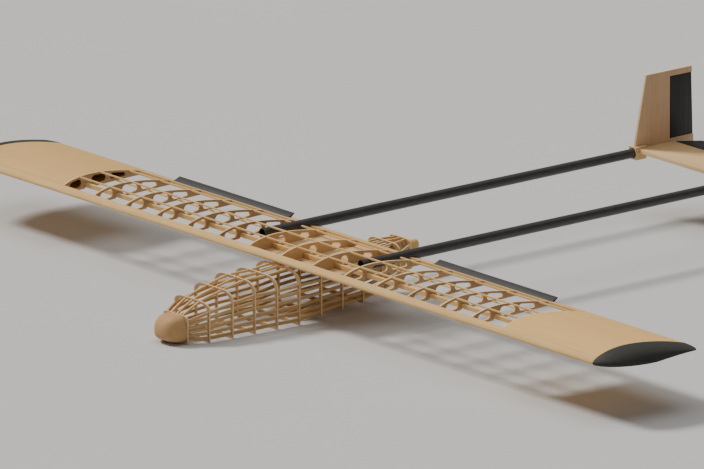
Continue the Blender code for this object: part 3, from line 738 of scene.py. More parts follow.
def softened(node: str, name: str, width: float) -> bpy.types.Object:
    """Copies a frame part with its edges sanded round.

    Args:
        node: the frame part's name.
        name: the new piece's name.
        width: how far the sanding reaches from each edge, in metres.

    Returns:
        The new piece.
    """
    mesh = bpy.data.objects[node].data.copy()
    mesh.materials.clear()
    work = bmesh.new()
    work.from_mesh(mesh)
    bmesh.ops.remove_doubles(work, verts=work.verts, dist=FRAME_JOIN_DISTANCE)
    flat = math.radians(FLAT_ANGLE)
    bmesh.ops.dissolve_limit(work, angle_limit=flat, verts=work.verts, edges=work.edges)
    work.to_mesh(mesh)
    work.free()
    draft = bpy.data.objects.new(f"{name}_draft", mesh)
    bpy.context.scene.collection.objects.link(draft)
    sanding = draft.modifiers.new("sanding", "BEVEL")
    sanding.width = width
    sanding.segments = SANDING_STEPS
    sanding.limit_method = "ANGLE"
    sanding.angle_limit = math.radians(SANDED_ANGLE)
    return evaluated_copy(draft, name, Shade.SOFT)


# --- geometry node trees -------------------------------------------------------------------------


STRIP_CORNER = 0.0003
BEAD_FACETS = 2
BEAD_SMALLEST, BEAD_LARGEST = (0.7, 0.7, 0.5), (1.25, 1.25, 0.9)


class TreeMaker:
    """Builds a geometry node tree that ends in Realize Instances and Set Material."""

    def __init__(self, name: str) -> None:
        """Starts the tree with a geometry input.

        Args:
            name: the tree's name.
        """
        self.tree = bpy.data.node_groups.new(name, "GeometryNodeTree")
        self.tree.interface.new_socket("Geometry", in_out="INPUT", socket_type="NodeSocketGeometry")
        self.tree.interface.new_socket("Geometry", in_out="OUTPUT", socket_type="NodeSocketGeometry")
        self.start = self.tree.nodes.new("NodeGroupInput")
        self.identifiers: dict[str, str] = {}

    def takes(self, name: str, kind: str) -> bpy.types.NodeSocket:
        """Adds a named input.

        Args:
            name: the input's name.
            kind: its socket type, such as Float or Int.

        Returns:
            The socket that carries it inside the tree.
        """
        item = self.tree.interface.new_socket(name, in_out="INPUT", socket_type=f"NodeSocket{kind}")
        self.identifiers[name] = item.identifier
        return self.start.outputs[name]

    def node(self, kind: str, links: dict[str | int, object], **settings: object) -> bpy.types.Node:
        """Adds a node with its options set and its inputs fed."""
        return add_node(self.tree, kind, links, **settings)

    def close(self, geometry: bpy.types.NodeSocket) -> None:
        """Realizes the geometry, sets its material and ends the tree.

        Args:
            geometry: what the tree has made.
        """
        material = self.takes("Material", "Material")
        real = self.node("GeometryNodeRealizeInstances", {"Geometry": geometry})
        painted = self.node("GeometryNodeSetMaterial", {"Geometry": real.outputs[0], "Material": material})
        end = self.tree.nodes.new("NodeGroupOutput")
        self.tree.links.new(painted.outputs[0], end.inputs[0])

    def run(
        self, base: bpy.types.Object, name: str, values: dict[str, object], shade: Shade
    ) -> bpy.types.Object:
        """Runs the tree on a base object and returns the result as a plain mesh.

        Args:
            base: the object that the tree starts from, which is used up.
            name: the new piece's name.
            values: input name to value.
            shade: how the result's corners are kept.

        Returns:
            The new piece.
        """
        modifier = base.modifiers.new("maker", "NODES")
        modifier.node_group = self.tree
        for key, value in values.items():
            modifier[self.identifiers[key]] = value
        base.update_tag()
        bpy.context.view_layer.update()
        return evaluated_copy(base, name, shade)


def row_tree() -> TreeMaker:
    """Copies a part along the span, such as a rib, at a pitch.

    Returns:
        The maker of the tree.
    """
    maker = TreeMaker("part_row")
    count = maker.takes("Count", "Int")
    first = maker.takes("First X", "Float")
    pitch = maker.takes("Pitch", "Float")
    start = maker.node("ShaderNodeCombineXYZ", {"X": first}).outputs[0]
    step = maker.node("ShaderNodeCombineXYZ", {"X": pitch}).outputs[0]
    line = maker.node("GeometryNodeMeshLine", {"Count": count, "Start Location": start, "Offset": step})
    links = {"Points": line.outputs[0], "Instance": maker.start.outputs["Geometry"]}
    maker.close(maker.node("GeometryNodeInstanceOnPoints", links).outputs[0])
    return maker


def strip_tree() -> TreeMaker:
    """Bends wooden strips of one section smoothly through chains of points.

    Returns:
        The maker of the tree.
    """
    maker = TreeMaker("bent_strips")
    width = maker.takes("Strip Width", "Float")
    height = maker.takes("Strip Height", "Float")
    steps = maker.takes("Steps", "Int")
    line = maker.node("GeometryNodeMeshToCurve", {"Mesh": maker.start.outputs["Geometry"]}).outputs[0]
    line = maker.node("GeometryNodeCurveSplineType", {"Curve": line}, spline_type="CATMULL_ROM").outputs[0]
    line = maker.node("GeometryNodeSetSplineResolution", {0: line, "Resolution": steps}).outputs[0]
    line = maker.node("GeometryNodeSetCurveNormal", {"Curve": line}, mode="Z_UP").outputs[0]
    section = maker.node("GeometryNodeCurvePrimitiveQuadrilateral", {"Width": width, "Height": height})
    corner = maker.node("GeometryNodeFilletCurve", {"Curve": section.outputs[0], "Radius": STRIP_CORNER})
    links = {"Curve": line, "Profile Curve": corner.outputs[0], "Fill Caps": True}
    maker.close(maker.node("GeometryNodeCurveToMesh", links).outputs[0])
    return maker


def bead_tree() -> TreeMaker:
    """Puts a small squashed bead on each point, sized by chance from a fixed seed.

    Returns:
        The maker of the tree.
    """
    maker = TreeMaker("glue_beads")
    radius = maker.takes("Bead Radius", "Float")
    seed = maker.takes("Seed", "Int")
    links = {"Radius": radius, "Subdivisions": BEAD_FACETS}
    bead = maker.node("GeometryNodeMeshIcoSphere", links).outputs[0]
    size = maker.node("FunctionNodeRandomValue", {"Seed": seed}, data_type="FLOAT_VECTOR")
    size.inputs[0].default_value = BEAD_SMALLEST
    size.inputs[1].default_value = BEAD_LARGEST
    links = {"Points": maker.start.outputs["Geometry"], "Instance": bead, "Scale": size.outputs[0]}
    maker.close(maker.node("GeometryNodeInstanceOnPoints", links).outputs[0])
    return maker


class Trees:
    """The geometry node trees, each built once."""

    def __init__(self) -> None:
        """Builds every tree."""
        self.row = row_tree()
        self.strips = strip_tree()
        self.beads = bead_tree()


def chains(name: str, paths: Sequence[Sequence[Point]]) -> bpy.types.Object:
    """Makes an object of points joined by edges.

    Args:
        name: the object's name.
        paths: the chains of points.

    Returns:
        The object.
    """
    points: list[Point] = []
    edges: list[tuple[int, int]] = []
    for path in paths:
        edges += [(len(points) + i, len(points) + i + 1) for i in range(len(path) - 1)]
        points += path
    mesh = bpy.data.meshes.new(name)
    mesh.from_pydata(points, edges, [])
    obj = bpy.data.objects.new(name, mesh)
    bpy.context.scene.collection.objects.link(obj)
    return obj


# --- the airframe's own measures -----------------------------------------------------------------


SECTION_SERIES = (0.2969, -0.1260, -0.3516, 0.2843, -0.1036)
SECTION_FACTOR = 5


@dataclass
class WingSection:
    """The wing's cross-section, fitted to the frame's leading and trailing edges."""

    thickness: float = 0.120
    camber: float = 0.040
    camber_place: float = 0.40
    tail_half: float = 0.0006
    nose_y: float = field(init=False)
    nose_z: float = field(init=False)
    chord: float = field(init=False)
    stick: float = field(init=False)

    def __post_init__(self) -> None:
        """Reads the chord and the nose's place from the frame."""
        low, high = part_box("leading_edge")
        self.nose_y = low.y
        self.stick = high.y - low.y
        self.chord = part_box("trailing_edge_centre")[1].y - low.y
        self.nose_z = high.z - self.upper(self.stick)

    def mean(self, back: float) -> float:
        """Gives the mean line's height.

        Args:
            back: the distance behind the nose.

        Returns:
            The height above the nose.
        """
        share, peak = back / self.chord, self.camber_place
        if share < peak:
            return self.chord * self.camber / peak**2 * (2 * peak * share - share**2)
        return self.chord * self.camber / (1 - peak) ** 2 * (1 - 2 * peak + 2 * peak * share - share**2)

    def half(self, back: float) -> float:
        """Gives half the section's depth, by the usual four-figure formula.

        Args:
            back: the distance behind the nose.

        Returns:
            Half the depth.
        """
        x = max(back / self.chord, 0.0)
        root, *terms = SECTION_SERIES
        series = root * math.sqrt(x) + sum(term * x**power for power, term in enumerate(terms, 1))
        return SECTION_FACTOR * self.thickness * self.chord * series + x * self.tail_half

    def upper(self, back: float) -> float:
        """Returns the top surface's height."""
        return self.mean(back) + self.half(back)

    def lower(self, back: float) -> float:
        """Returns the bottom surface's height."""
        return self.mean(back) - self.half(back)

    def at(self, x: float, back: float, rise: float) -> Point:
        """Returns the frame point for a place across, behind and above the nose."""
        return (x, self.nose_y + back, self.nose_z + rise)


@dataclass
class SubAssembly:
    """What every part of the airframe's maker shares."""

    groups: Groups
    trees: Trees
    section: WingSection

    def fit(
        self,
        piece: bpy.types.Object,
        material: bpy.types.Material,
        slot: str,
        replaces: Sequence[str] = (),
        body: str = AIRFRAME,
    ) -> bpy.types.Object:
        """Paints a finished piece and hands it to the frame.

        Args:
            piece: the finished mesh object.
            material: what it is painted with.
            slot: not used.
            replaces: the frame parts that it stands for.
            body: the body that it moves with.

        Returns:
            The same piece.
        """
        piece.data.materials.clear()
        piece.data.materials.append(material)
        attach(piece, body)
        if replaces:
            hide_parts(*replaces)
        LOG.info("%s: %d faces on %s", piece.name, len(piece.data.polygons), body)
        return piece

    def dress(self, node: str, material: bpy.types.Material) -> None:
        """Gives a frame part that stays its finish.

        Args:
            node: the frame part's name.
            material: its finish.
        """
        mesh = bpy.data.objects[node].data
        mesh.materials.clear()
        mesh.materials.append(material)
        LOG.info("%s dressed", node)


# --- wing ----------------------------------------------------------------------------------------


TOP_STRIPS = ("wing_stringer_front", "wing_stringer_mid", "wing_stringer_rear_centre")


@dataclass
class Wing(SubAssembly):
    """Ribs, edges, strips, outer sheeting and tips."""

    rib_thickness: float = 0.0030
    centre_ribs: int = 3
    side_ribs: int = 6
    lower_strip_places: tuple[float, ...] = (0.13, 0.62)
    lower_strip_size: Flat = (0.003, 0.0018)
    lower_strip_lift: float = 0.0001
    sheet: float = 0.0015
    gap: float = 0.0003
    slot_margin: float = 0.0006
    hole_steps: int = 16
    nose_steps: int = 14
    panel_steps: int = 34
    panel_crowding: float = 1.25
    hollow_depth: float = 3.0
    tip_front_sweep: float = 0.075
    tip_rear_sweep: float = 0.012
    tip_end_share: float = 0.10
    tip_levels: int = 12
    tip_steps: int = 24
    side_cuts: tuple[Point, ...] = ((0.112, 0.250, 0.021), (0.352, 0.520, 0.020), (0.560, 0.735, 0.019))
    centre_cuts: tuple[Point, ...] = ((0.355, 0.435, 0.026), (0.60, 0.70, 0.022))

    def build(self) -> None:
        """Builds and dresses the whole wing."""
        self.leading_edge()
        self.ribs()
        self.strips()
        self.trailing_edges()
        self.outer_panels()
        self.tip_caps()

    def leading_edge(self) -> None:
        """The rounded stick along the wing's front."""
        s, reach = self.section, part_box("leading_edge")[1].x
        turns = spread(0.0, math.pi / 2, self.nose_steps + 1)
        backs = [s.stick * (1 - math.cos(turn)) for turn in turns]
        top = [(back, s.upper(back)) for back in reversed(backs)]
        profile = top + [(back, s.lower(back)) for back in backs[1:]]
        rings = [[s.at(x, back, rise) for back, rise in profile] for x in (-reach, reach)]
        points, faces = loft(rings)
        piece = make_piece("leading_edge_stick", points, faces, Shade.SOFT)
        material = STICK.build(self.groups, piece.name, Grain.SPAN)
        self.fit(piece, material, "stick_balsa", ["leading_edge"])

    def slot(self, centre: float, width: float, depth: float) -> list[Flat]:
        """Draws a slot in the top surface.

        Args:
            centre: how far behind the nose its middle is.
            width: its width.
            depth: its depth at its middle.

        Returns:
            Its four corners, front to back.
        """
        s, front, back = self.section, centre - width / 2, centre + width / 2
        floor = s.upper(centre) - depth
        return [(front, s.upper(front)), (front, floor), (back, floor), (back, s.upper(back))]

    def hole_reach(self, place: float, end: float, margin: float) -> Point:
        """Gives a lightening hole's middle and half height at one place.

        Args:
            place: the distance behind the nose.
            end: the distance to the hole's nearer end.
            margin: the rim left above and below it.

        Returns:
            The place, the middle's height and the half height there.
        """
        upper, lower = self.section.upper(place), self.section.lower(place)
        reach = (upper - lower) / 2 - margin
        round_off = math.sqrt(max(0.0, 1 - max(0.0, 1 - end / reach) ** 2))
        return (place, (upper + lower) / 2, reach * round_off)

    def hole(self, front: float, back: float, margin: float) -> list[Flat]:
        """Draws a long round-ended lightening hole between the two surfaces.

        Args:
            front: how far behind the nose it starts.
            back: how far behind the nose it ends.
            margin: the rim left above and below it.

        Returns:
            Its outline.
        """
        turns = spread(0.0, math.pi, self.hole_steps + 1)
        places = [front + (back - front) * (1 - math.cos(turn)) / 2 for turn in turns]
        rows = [self.hole_reach(place, min(place - front, back - place), margin) for place in places]
        top = [(place, middle + reach) for place, middle, reach in rows]
        return top + [(place, middle - reach) for place, middle, reach in reversed(rows[1:-1])]

    def rib_top(self, front: float, back: float) -> list[Flat]:
        """Draws a rib's top line, with a slot for each strip.

        Args:
            front: how far behind the nose it starts.
            back: how far behind the nose it ends.

        Returns:
            The line, front to back.
        """
        s, slots = self.section, []
        for name in TOP_STRIPS:
            low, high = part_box(name)
            centre = (low.y + high.y) / 2 - s.nose_y
            slots.append(self.slot(centre, high.y - low.y + 2 * self.gap, high.z - low.z + self.gap))
        line: list[Flat] = []
        waiting, margin = list(slots), self.slot_margin
        for place in spread(front, back, 46):
            while waiting and waiting[0][0][0] <= place:
                line += waiting.pop(0)
            if not any(slot[0][0] - margin < place < slot[-1][0] + margin for slot in slots):
                line.append((place, s.upper(place)))
        return line

    def rib_bottom(self, front: float, back: float, lift: float) -> list[Flat]:
        """Draws a rib's bottom line, with a notch for the spar.

        Args:
            front: how far behind the nose it starts.
            back: how far behind the nose it ends.
            lift: how far it is raised where a floor runs below it.

        Returns:
            The line, front to back.
        """
        s, margin = self.section, self.slot_margin
        low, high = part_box("main_spar")
        start, end = low.y - s.nose_y - self.gap, high.y - s.nose_y + self.gap
        top = high.z - s.nose_z + self.gap
        floor_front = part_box("centre_floor")[0].y - s.nose_y - self.gap
        step = [floor_front, floor_front - 1e-5]
        line: list[Flat] = []
        for place in sorted(spread(front, back, 26) + step):
            if start - margin < place < end + margin:
                continue
            if line and line[-1][0] < start < place:
                rises = [s.lower(y) + (lift if y >= floor_front else 0.0) for y in (start, end)]
                line += [(start, rises[0]), (start, top), (end, top), (end, rises[1])]
            line.append((place, s.lower(place) + (lift if place >= floor_front else 0.0)))
        return line

    def rib_mesh(self, lift: float, cuts: Sequence[Point]) -> Shell:
        """Draws one rib at X = 0.

        Args:
            lift: how far its underside is raised where a floor runs below it.
            cuts: the front, back and rim of each lightening hole, as shares of the chord.

        Returns:
            Its points and faces.
        """
        s = self.section
        front, back = s.stick + self.gap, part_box("trailing_edge_centre")[0].y - s.nose_y - self.gap
        outline = self.rib_top(front, back) + self.rib_bottom(front, back, lift)[::-1]
        holes = [self.hole(*(value * s.chord for value in cut)) for cut in cuts]
        half = self.rib_thickness / 2
        loops = [outline] + [hole[::-1] for hole in holes]
        return slab(loops, -half, half, lambda back, rise, x: s.at(x, back, rise))

    def ribs(self) -> None:
        """Three rows of copied ribs: over the floor, and outwards on each side."""
        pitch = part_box("rib_port_1")[0].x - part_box("rib_centre")[0].x
        first = (self.centre_ribs // 2 + 1) * pitch
        names = {"centre": ["rib_centre", "rib_port_1", "rib_starboard_1"]}
        lift = self.sheet + self.gap
        rows = {"centre": (self.centre_ribs, -pitch * (self.centre_ribs // 2), pitch, lift)}
        for side, sign in SIDES.items():
            names[side] = [f"rib_{side}_{number}" for number in range(2, 2 + self.side_ribs)]
            rows[side] = (self.side_ribs, sign * first, sign * pitch, 0.0)
        for row, (count, start, step, lift) in rows.items():
            points, faces = self.rib_mesh(lift, self.centre_cuts if lift else self.side_cuts)
            base = make_piece(f"rib_{row}_pattern", points, faces, Shade.SOFT)
            # Painted light: the centre ribs take the paler copy of the rib wood, while the side ribs keep
            # the darker tone.
            finish = PALE_SHEET if lift else SHEET
            material = finish.build(self.groups, f"ribs_{row}", Grain.LENGTH, ACROSS, pitch)
            values = {"Count": count, "First X": start, "Pitch": step, "Material": material}
            piece = self.trees.row.run(base, f"ribs_{row}", values, Shade.SOFT)
            self.fit(piece, material, "rib_balsa", names[row])

    def strips(self) -> None:
        """The frame's top strips, spar and floor, and the thin strips along the underside."""
        for node in (*TOP_STRIPS, *(f"wing_stringer_rear_{side}" for side in SIDES), "main_spar"):
            self.dress(node, STICK.build(self.groups, node, Grain.SPAN))
        # Painted light: the centre floor takes the paler copy of the sheet wood.
        self.dress("centre_floor", PALE_SHEET.build(self.groups, "centre_floor", Grain.SPAN, UP))
        s, (width, height) = self.section, self.lower_strip_size
        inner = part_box("trailing_edge_port")[0].x + self.gap
        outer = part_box("wing_stringer_front")[1].x
        paths = []
        for share in self.lower_strip_places:
            back = share * s.chord
            rise = max(s.lower(back - width / 2), s.lower(back + width / 2)) + height / 2
            rise += self.lower_strip_lift
            for sign in SIDES.values():
                xs = spread(sign * inner, sign * outer, 4)
                paths.append([s.at(x, back, rise) for x in xs])
        material = STICK.build(self.groups, "wing_lower_strips", Grain.SPAN)
        values = {"Strip Width": width, "Strip Height": height, "Steps": 1, "Material": material}
        lines = chains("lower_strip_lines", paths)
        piece = self.trees.strips.run(lines, "wing_lower_strips", values, Shade.SOFT)
        self.fit(piece, material, "stick_balsa")

    def trailing_edges(self) -> None:
        """The tapered sticks."""
        for node in ("trailing_edge_centre", "trailing_edge_port", "trailing_edge_starboard"):
            self.dress(node, STICK.build(self.groups, node, Grain.SPAN))

    def outer_panels(self) -> None:
        """Sheeting wrapped from the leading edge stick round the tail and back."""
        s = self.section
        front = s.stick + self.gap
        shares = [share**self.panel_crowding for share in spread(0.0, 1.0, self.panel_steps)]
        backs = [front + (s.chord - front) * share for share in shares]
        hollow = self.hollow_depth * self.sheet
        inner = [back for back in backs if s.upper(back) - s.lower(back) > hollow]
        profile = [(back, s.upper(back)) for back in backs]
        profile += [(back, s.lower(back)) for back in reversed(backs)]
        profile += [(back, s.lower(back) + self.sheet) for back in inner]
        profile += [(back, s.upper(back) - self.sheet) for back in reversed(inner)]
        for side in SIDES:
            low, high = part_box(f"outer_panel_{side}")
            points, faces = slab([profile], low.x, high.x, lambda back, rise, x: s.at(x, back, rise))
            piece = make_piece(f"outer_sheeting_{side}", points, faces, Shade.SOFT)
            material = BLOCK.build(self.groups, piece.name, Grain.SPAN)
            self.fit(piece, material, "stick_balsa", [f"outer_panel_{side}"])

    def tip_caps(self) -> None:
        """Dark rounded tips whose undersides stay low."""
        shares = [(1 - math.cos(turn)) / 2 for turn in spread(0.0, math.pi, self.tip_steps + 1)]
        for side, sign in SIDES.items():
            low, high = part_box(f"tip_cap_{side}")
            inner, outer = (low.x, high.x) if sign > 0 else (high.x, low.x)
            rings = []
            for turn in spread(0.0, math.pi / 2, self.tip_levels + 1):
                out = math.sin(turn)
                left = math.sqrt(max(0.0, 1 - out**2))
                rings.append(self.tip_ring(inner + (outer - inner) * out, left, shares))
            points, faces = loft(rings)
            piece = make_piece(f"tip_block_{side}", points, faces, Shade.ROUND)
            material = TIP.build(self.groups, piece.name, Grain.LENGTH)
            self.fit(piece, material, "dark_panel", [f"tip_cap_{side}"])

    def tip_ring(self, x: float, left: float, shares: Sequence[float]) -> list[Point]:
        """Draws one section of a tip, shorter and thinner than the wing's.

        Args:
            x: its place across.
            left: how much of the full section is left, from 1 at the wing to 0 at the end.
            shares: where its points lie, as shares of its length.

        Returns:
            The section, back along the top and forward along the bottom.
        """
        s = self.section
        start = self.tip_front_sweep * (1 - left)
        length = s.chord - start - self.tip_rear_sweep * (1 - left)
        thin = self.tip_end_share + (1 - self.tip_end_share) * left
        bases = [s.lower(share * s.chord) for share in shares]
        tops = [base + (s.upper(share * s.chord) - base) * thin for share, base in zip(shares, bases)]
        top = [s.at(x, start + share * length, rise) for share, rise in zip(shares, tops)]
        bottom = [s.at(x, start + share * length, rise) for share, rise in zip(shares, bases)]
        return top + bottom[:0:-1]


# --- moving surfaces -----------------------------------------------------------------------------


@dataclass
class Surfaces(SubAssembly):
    """Ailerons, rudders and elevator with their wires."""

    rounding: float = 0.0004

    def build(self) -> None:
        """Builds each moving surface with sanded edges, and dresses the wires."""
        for side in SIDES:
            self.surface(f"aileron_{side}", Grain.SPAN)
            self.surface(f"rudder_{side}", Grain.UPRIGHT)
            self.wire(f"aileron_hinge_wire_{side}", f"aileron_{side}", Grain.SPAN)
            self.wire(f"rudder_pin_{side}", f"rudder_{side}", Grain.UPRIGHT)
        self.surface("elevator", Grain.SPAN)
        self.wire("elevator_hinge_wire", "elevator", Grain.SPAN)

    def wire(self, node: str, piece: str, grain: Grain) -> None:
        """Dresses one hinge wire."""
        self.dress(node, WireFinish().build(self.groups, piece, grain))

    def surface(self, node: str, grain: Grain) -> None:
        """Sands one moving surface and stains it dark.

        Args:
            node: the surface's name, and its body's.
            grain: which way its fibres run.
        """
        piece = softened(node, f"{node}_panel", self.rounding)
        material = STAINED.build(self.groups, piece.name, grain)
        self.fit(piece, material, "dark_panel", [node], body=node)


# --- booms and tail ------------------------------------------------------------------------------


@dataclass
class Tail(SubAssembly):
    """The tube booms, their sockets, the fins and the stabiliser."""

    tube_wall: float = 0.0012
    tube_sides: int = 48
    tube_levels: int = 24
    frame_sides: int = 16
    end_depth: float = 0.001
    wrap_width: float = 0.05
    rounding: float = 0.0008

    def build(self) -> None:
        """Builds the booms and everything that they carry."""
        for side in SIDES:
            self.boom(side)
            self.wooden(f"boom_socket_{side}", f"boom_block_{side}", Grain.LENGTH, PALE_SHEET)
            self.wooden(f"fin_{side}", f"tail_fin_{side}", Grain.UPRIGHT, FIN_SHEET)
        self.wooden("stabiliser", "tail_board", Grain.SPAN, PALE_SHEET)

    def wooden(self, node: str, name: str, grain: Grain, finish: WoodFinish) -> None:
        """Sands one wooden tail part.

        Args:
            node: the frame part's name.
            name: the new piece's name.
            grain: which way its fibres run.
            finish: its wood.
        """
        axis = UP if grain is Grain.SPAN else ACROSS
        material = finish.build(self.groups, name, grain, axis)
        self.fit(softened(node, name, self.rounding), material, "stick_balsa", [node])

    def boom(self, side: str) -> None:
        """One tapered tube, open at both ends, with windings mapped round it.

        Args:
            side: port or starboard.
        """
        low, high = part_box(f"tail_boom_{side}")
        centre, flats = (low + high) / 2, math.cos(math.pi / self.frame_sides)
        spots = [v.co for v in bpy.data.objects[f"tail_boom_{side}"].data.vertices]
        rear = max(abs(co.x - centre.x) for co in spots if co.y > high.y - self.end_depth) / flats
        radii = spread((high.x - low.x) / 2 / flats, rear, self.tube_levels)
        outside = list(zip(spread(low.y, high.y, self.tube_levels), radii))
        inside = [(y, radius - self.tube_wall) for y, radius in reversed(outside)]
        count = self.tube_sides
        turns = [2 * math.pi * i / count for i in range(count)]
        rings = [
            [(centre.x + radius * math.cos(turn), y, centre.z + radius * math.sin(turn)) for turn in turns]
            for y, radius in outside + inside
        ]
        faces, wraps, around = [], [], self.wrap_width / count
        for level in range(len(rings)):
            after = (level + 1) % len(rings)
            a, b = rings[level][0][1], rings[after][0][1]
            for i in range(count):
                j = (i + 1) % count
                faces.append((level * count + i, level * count + j, after * count + j, after * count + i))
                left, right = i * around, (i + 1) * around
                wraps += [(left, a), (right, a), (right, b), (left, b)]
        points = [point for ring in rings for point in ring]
        piece = make_piece(f"boom_tube_{side}", points, faces, Shade.SOFT, clean=False)
        layer = piece.data.uv_layers.new(name="wrap")
        layer.data.foreach_set("uv", [value for pair in wraps for value in pair])
        self.turn_out(piece)
        material = TubeFinish().build(self.groups, piece.name)
        self.fit(piece, material, "boom_tube", [f"tail_boom_{side}"])

    @staticmethod
    def turn_out(piece: bpy.types.Object) -> None:
        """Turns a closed mesh's faces outwards and keeps its UV map.

        Args:
            piece: the piece.
        """
        work = bmesh.new()
        work.from_mesh(piece.data)
        bmesh.ops.recalc_face_normals(work, faces=work.faces)
        work.to_mesh(piece.data)
        work.free()


# --- pod -----------------------------------------------------------------------------------------


SHOULDER_DROP, SHOULDER_FULLNESS = 0.017, 0.94
BELLY_CORNER, BELLY_RISE = 0.0045, 0.004
LEAST_DEPTH, DEPTH_TO_FULL = 0.030, 0.050
DECK_FLAT, INSET_SHARE = 0.9, 0.2
BELLY_STEPS = 4


@dataclass(frozen=True)
class Station:
    """One of the pod's cross-sections: its place and its outline's measures."""

    y: float
    deck_half: float
    wall_half: float
    top: float
    bottom: float

    @property
    def scale(self) -> float:
        """How full the shoulders and belly corners are, less where the pod is shallow."""
        return min(1.0, (self.top - self.bottom - LEAST_DEPTH) / DEPTH_TO_FULL)

    def outline(self, inset: float, roof: float, steps: int = 8) -> list[Flat]:
        """Draws a bow: flat deck, round shoulders, upright walls and a flat belly.

        Args:
            inset: how far the walls and belly lie inside the full outline.
            roof: how far the deck lies inside it.
            steps: the pieces of each shoulder.

        Returns:
            The outline as X and Z, once round.
        """
        half, top, bottom = self.wall_half - inset, self.top - roof, self.bottom + inset
        drop, corner = SHOULDER_DROP * self.scale, BELLY_CORNER * self.scale + inset * INSET_SHARE
        deck = self.deck_half * DECK_FLAT - roof * INSET_SHARE
        side = []
        for turn in spread(0.0, math.pi / 2, steps):
            across, fall = math.sin(turn) ** SHOULDER_FULLNESS, 1 - math.cos(turn) ** SHOULDER_FULLNESS
            side.append((deck + (half - deck) * across, top - drop * fall))
        for turn in spread(0.0, math.pi / 2, BELLY_STEPS):
            across = corner * (1 - math.cos(turn))
            side.append((half - across, bottom + corner * (1 - math.sin(turn))))
        return side + [(-x, z) for x, z in reversed(side)]


@dataclass
class Pod(SubAssembly):
    """Nose block, formers, the basket of long strips and the rear boss."""

    deck_halves: tuple[float, ...] = (0.0200, 0.0230, *(0.0250,) * 7, 0.0220)
    nose_deck_half: float = 0.0165
    tail_deck_half: float = 0.0140
    tail_wall_half: float = 0.0230
    tail_rise: float = -0.0030
    tail_belly: float = -0.0480
    former_thickness: float = 0.0025
    former_rim: float = 0.0050
    bow_rim: float = 0.0033
    proud: float = 0.0012
    strip: float = 0.0030
    wall_strip: float = 0.0045
    wall_rows: int = 6
    deck_share: float = 0.76
    belly_share: float = 0.55
    bead_radius: float = 0.0011
    bead_inset: float = 0.0012
    bead_seed: int = 4
    ring_offset: float = 0.0009
    nose_shortening: float = 0.0020
    nose_levels: int = 24
    nose_sides: int = 72
    nose_least: float = 0.03
    nose_reach: float = 0.9995
    nose_plan: Flat = (2.5, 2.4)
    nose_side: Flat = (2.6, 2.3)
    nose_square: Flat = (0.50, 0.12)
    nose_taper: float = 0.16
    nose_sink: float = 0.005
    boss_chamfer: float = 0.0006
    stations: list[Station] = field(init=False, default_factory=list)

    def build(self) -> None:
        """Builds the pod from nose to tail."""
        self.stations = self.read_stations()
        self.nose_block()
        self.formers()
        self.basket()
        self.beads()
        self.boss()

    def read_stations(self) -> list[Station]:
        """Reads the formers' places and sizes from the frame.

        Returns:
            The front ring's station, the formers' and the bulkhead's.
        """
        low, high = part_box("nose_block")
        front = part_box("pod_stringer_cage")[0].y + self.ring_offset
        stations = [Station(front, self.nose_deck_half, high.x, high.z, low.z)]
        for number, deck_half in enumerate(self.deck_halves, 1):
            low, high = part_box(f"pod_former_{number:02d}")
            stations.append(Station((low.y + high.y) / 2, deck_half, high.x, high.z, low.z))
        nose_z = self.section.nose_z
        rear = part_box("pod_stringer_cage")[1].y - self.former_thickness
        top, bottom = nose_z + self.tail_rise, nose_z + self.tail_belly
        return stations + [Station(rear, self.tail_deck_half, self.tail_wall_half, top, bottom)]

    def nose_block(self) -> None:
        """A carved block with a wide blunt front and rounded corners."""
        low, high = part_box("nose_block")
        half, middle = (high - low) / 2, (high.z + low.z) / 2
        rings = []
        for turn in spread(0.0, math.pi / 2, self.nose_levels):
            share = math.sin(turn)
            wide, tall = (self.nose_size(share, shape) for shape in (self.nose_plan, self.nose_side))
            y = high.y + (low.y + self.nose_shortening - high.y) * share
            square = self.nose_square[0] + self.nose_square[1] * share
            z = middle - self.nose_sink * share * (1 - tall)
            ring = []
            for i in range(self.nose_sides):
                angle = 2 * math.pi * i / self.nose_sides
                a = math.copysign(abs(math.cos(angle)) ** square, math.cos(angle))
                b = math.copysign(abs(math.sin(angle)) ** square, math.sin(angle))
                taper = 1 - self.nose_taper * max(b, 0.0)
                ring.append((half.x * wide * a * taper, y, z + half.z * tall * b))
            rings.append(ring)
        points, faces = loft(rings)
        piece = make_piece("carved_nose", points, faces, Shade.ROUND)
        material = CARVED.build(self.groups, piece.name, Grain.LENGTH)
        self.fit(piece, material, "block_balsa", ["nose_block"])

    def nose_size(self, share: float, shape: Flat) -> float:
        """Returns how much of the nose's full size is left, 0 to 1 of the way to its tip."""
        return max(self.nose_least, (1 - min(share, self.nose_reach) ** shape[0]) ** (1 / shape[1]))

    def formers(self) -> None:
        """Thin ring formers that stand just proud of the strips."""
        half = self.former_thickness / 2
        for number, station in enumerate(self.stations[1:-1], 1):
            node = f"pod_former_{number:02d}"
            loops = [station.outline(0.0, 0.0), station.outline(self.former_rim, self.bow_rim)[::-1]]
            low, high = station.y - half, station.y + half
            points, faces = slab(loops, low, high, lambda x, z, y: (x, y, z))
            piece = make_piece(f"ring_former_{number:02d}", points, faces, Shade.SOFT)
            material = SHEET.build(self.groups, piece.name, Grain.UPRIGHT, AFT)
            self.fit(piece, material, "stick_balsa", [node])

    def wall_levels(self, station: Station) -> list[float]:
        """Spreads the wall strips at a station, from the shoulder down.

        Args:
            station: the cross-section.

        Returns:
            Their heights.
        """
        high = station.top - SHOULDER_DROP * station.scale - self.wall_strip
        low = station.bottom + BELLY_RISE * station.scale + self.wall_strip
        return spread(high, low, self.wall_rows)

    def deck_lines(self) -> list[list[Point]]:
        """Draws the chains of the deck and belly strips.

        Returns:
            The chains, nose to tail.
        """
        lines, inside = [], self.proud + self.strip / 2
        for share in (-1, 0, 1):
            roof, belly = self.deck_share * share, self.belly_share * share
            lines.append([(s.deck_half * roof, s.y, s.top - inside) for s in self.stations])
            lines.append([(s.wall_half * belly, s.y, s.bottom + inside) for s in self.stations])
        return lines

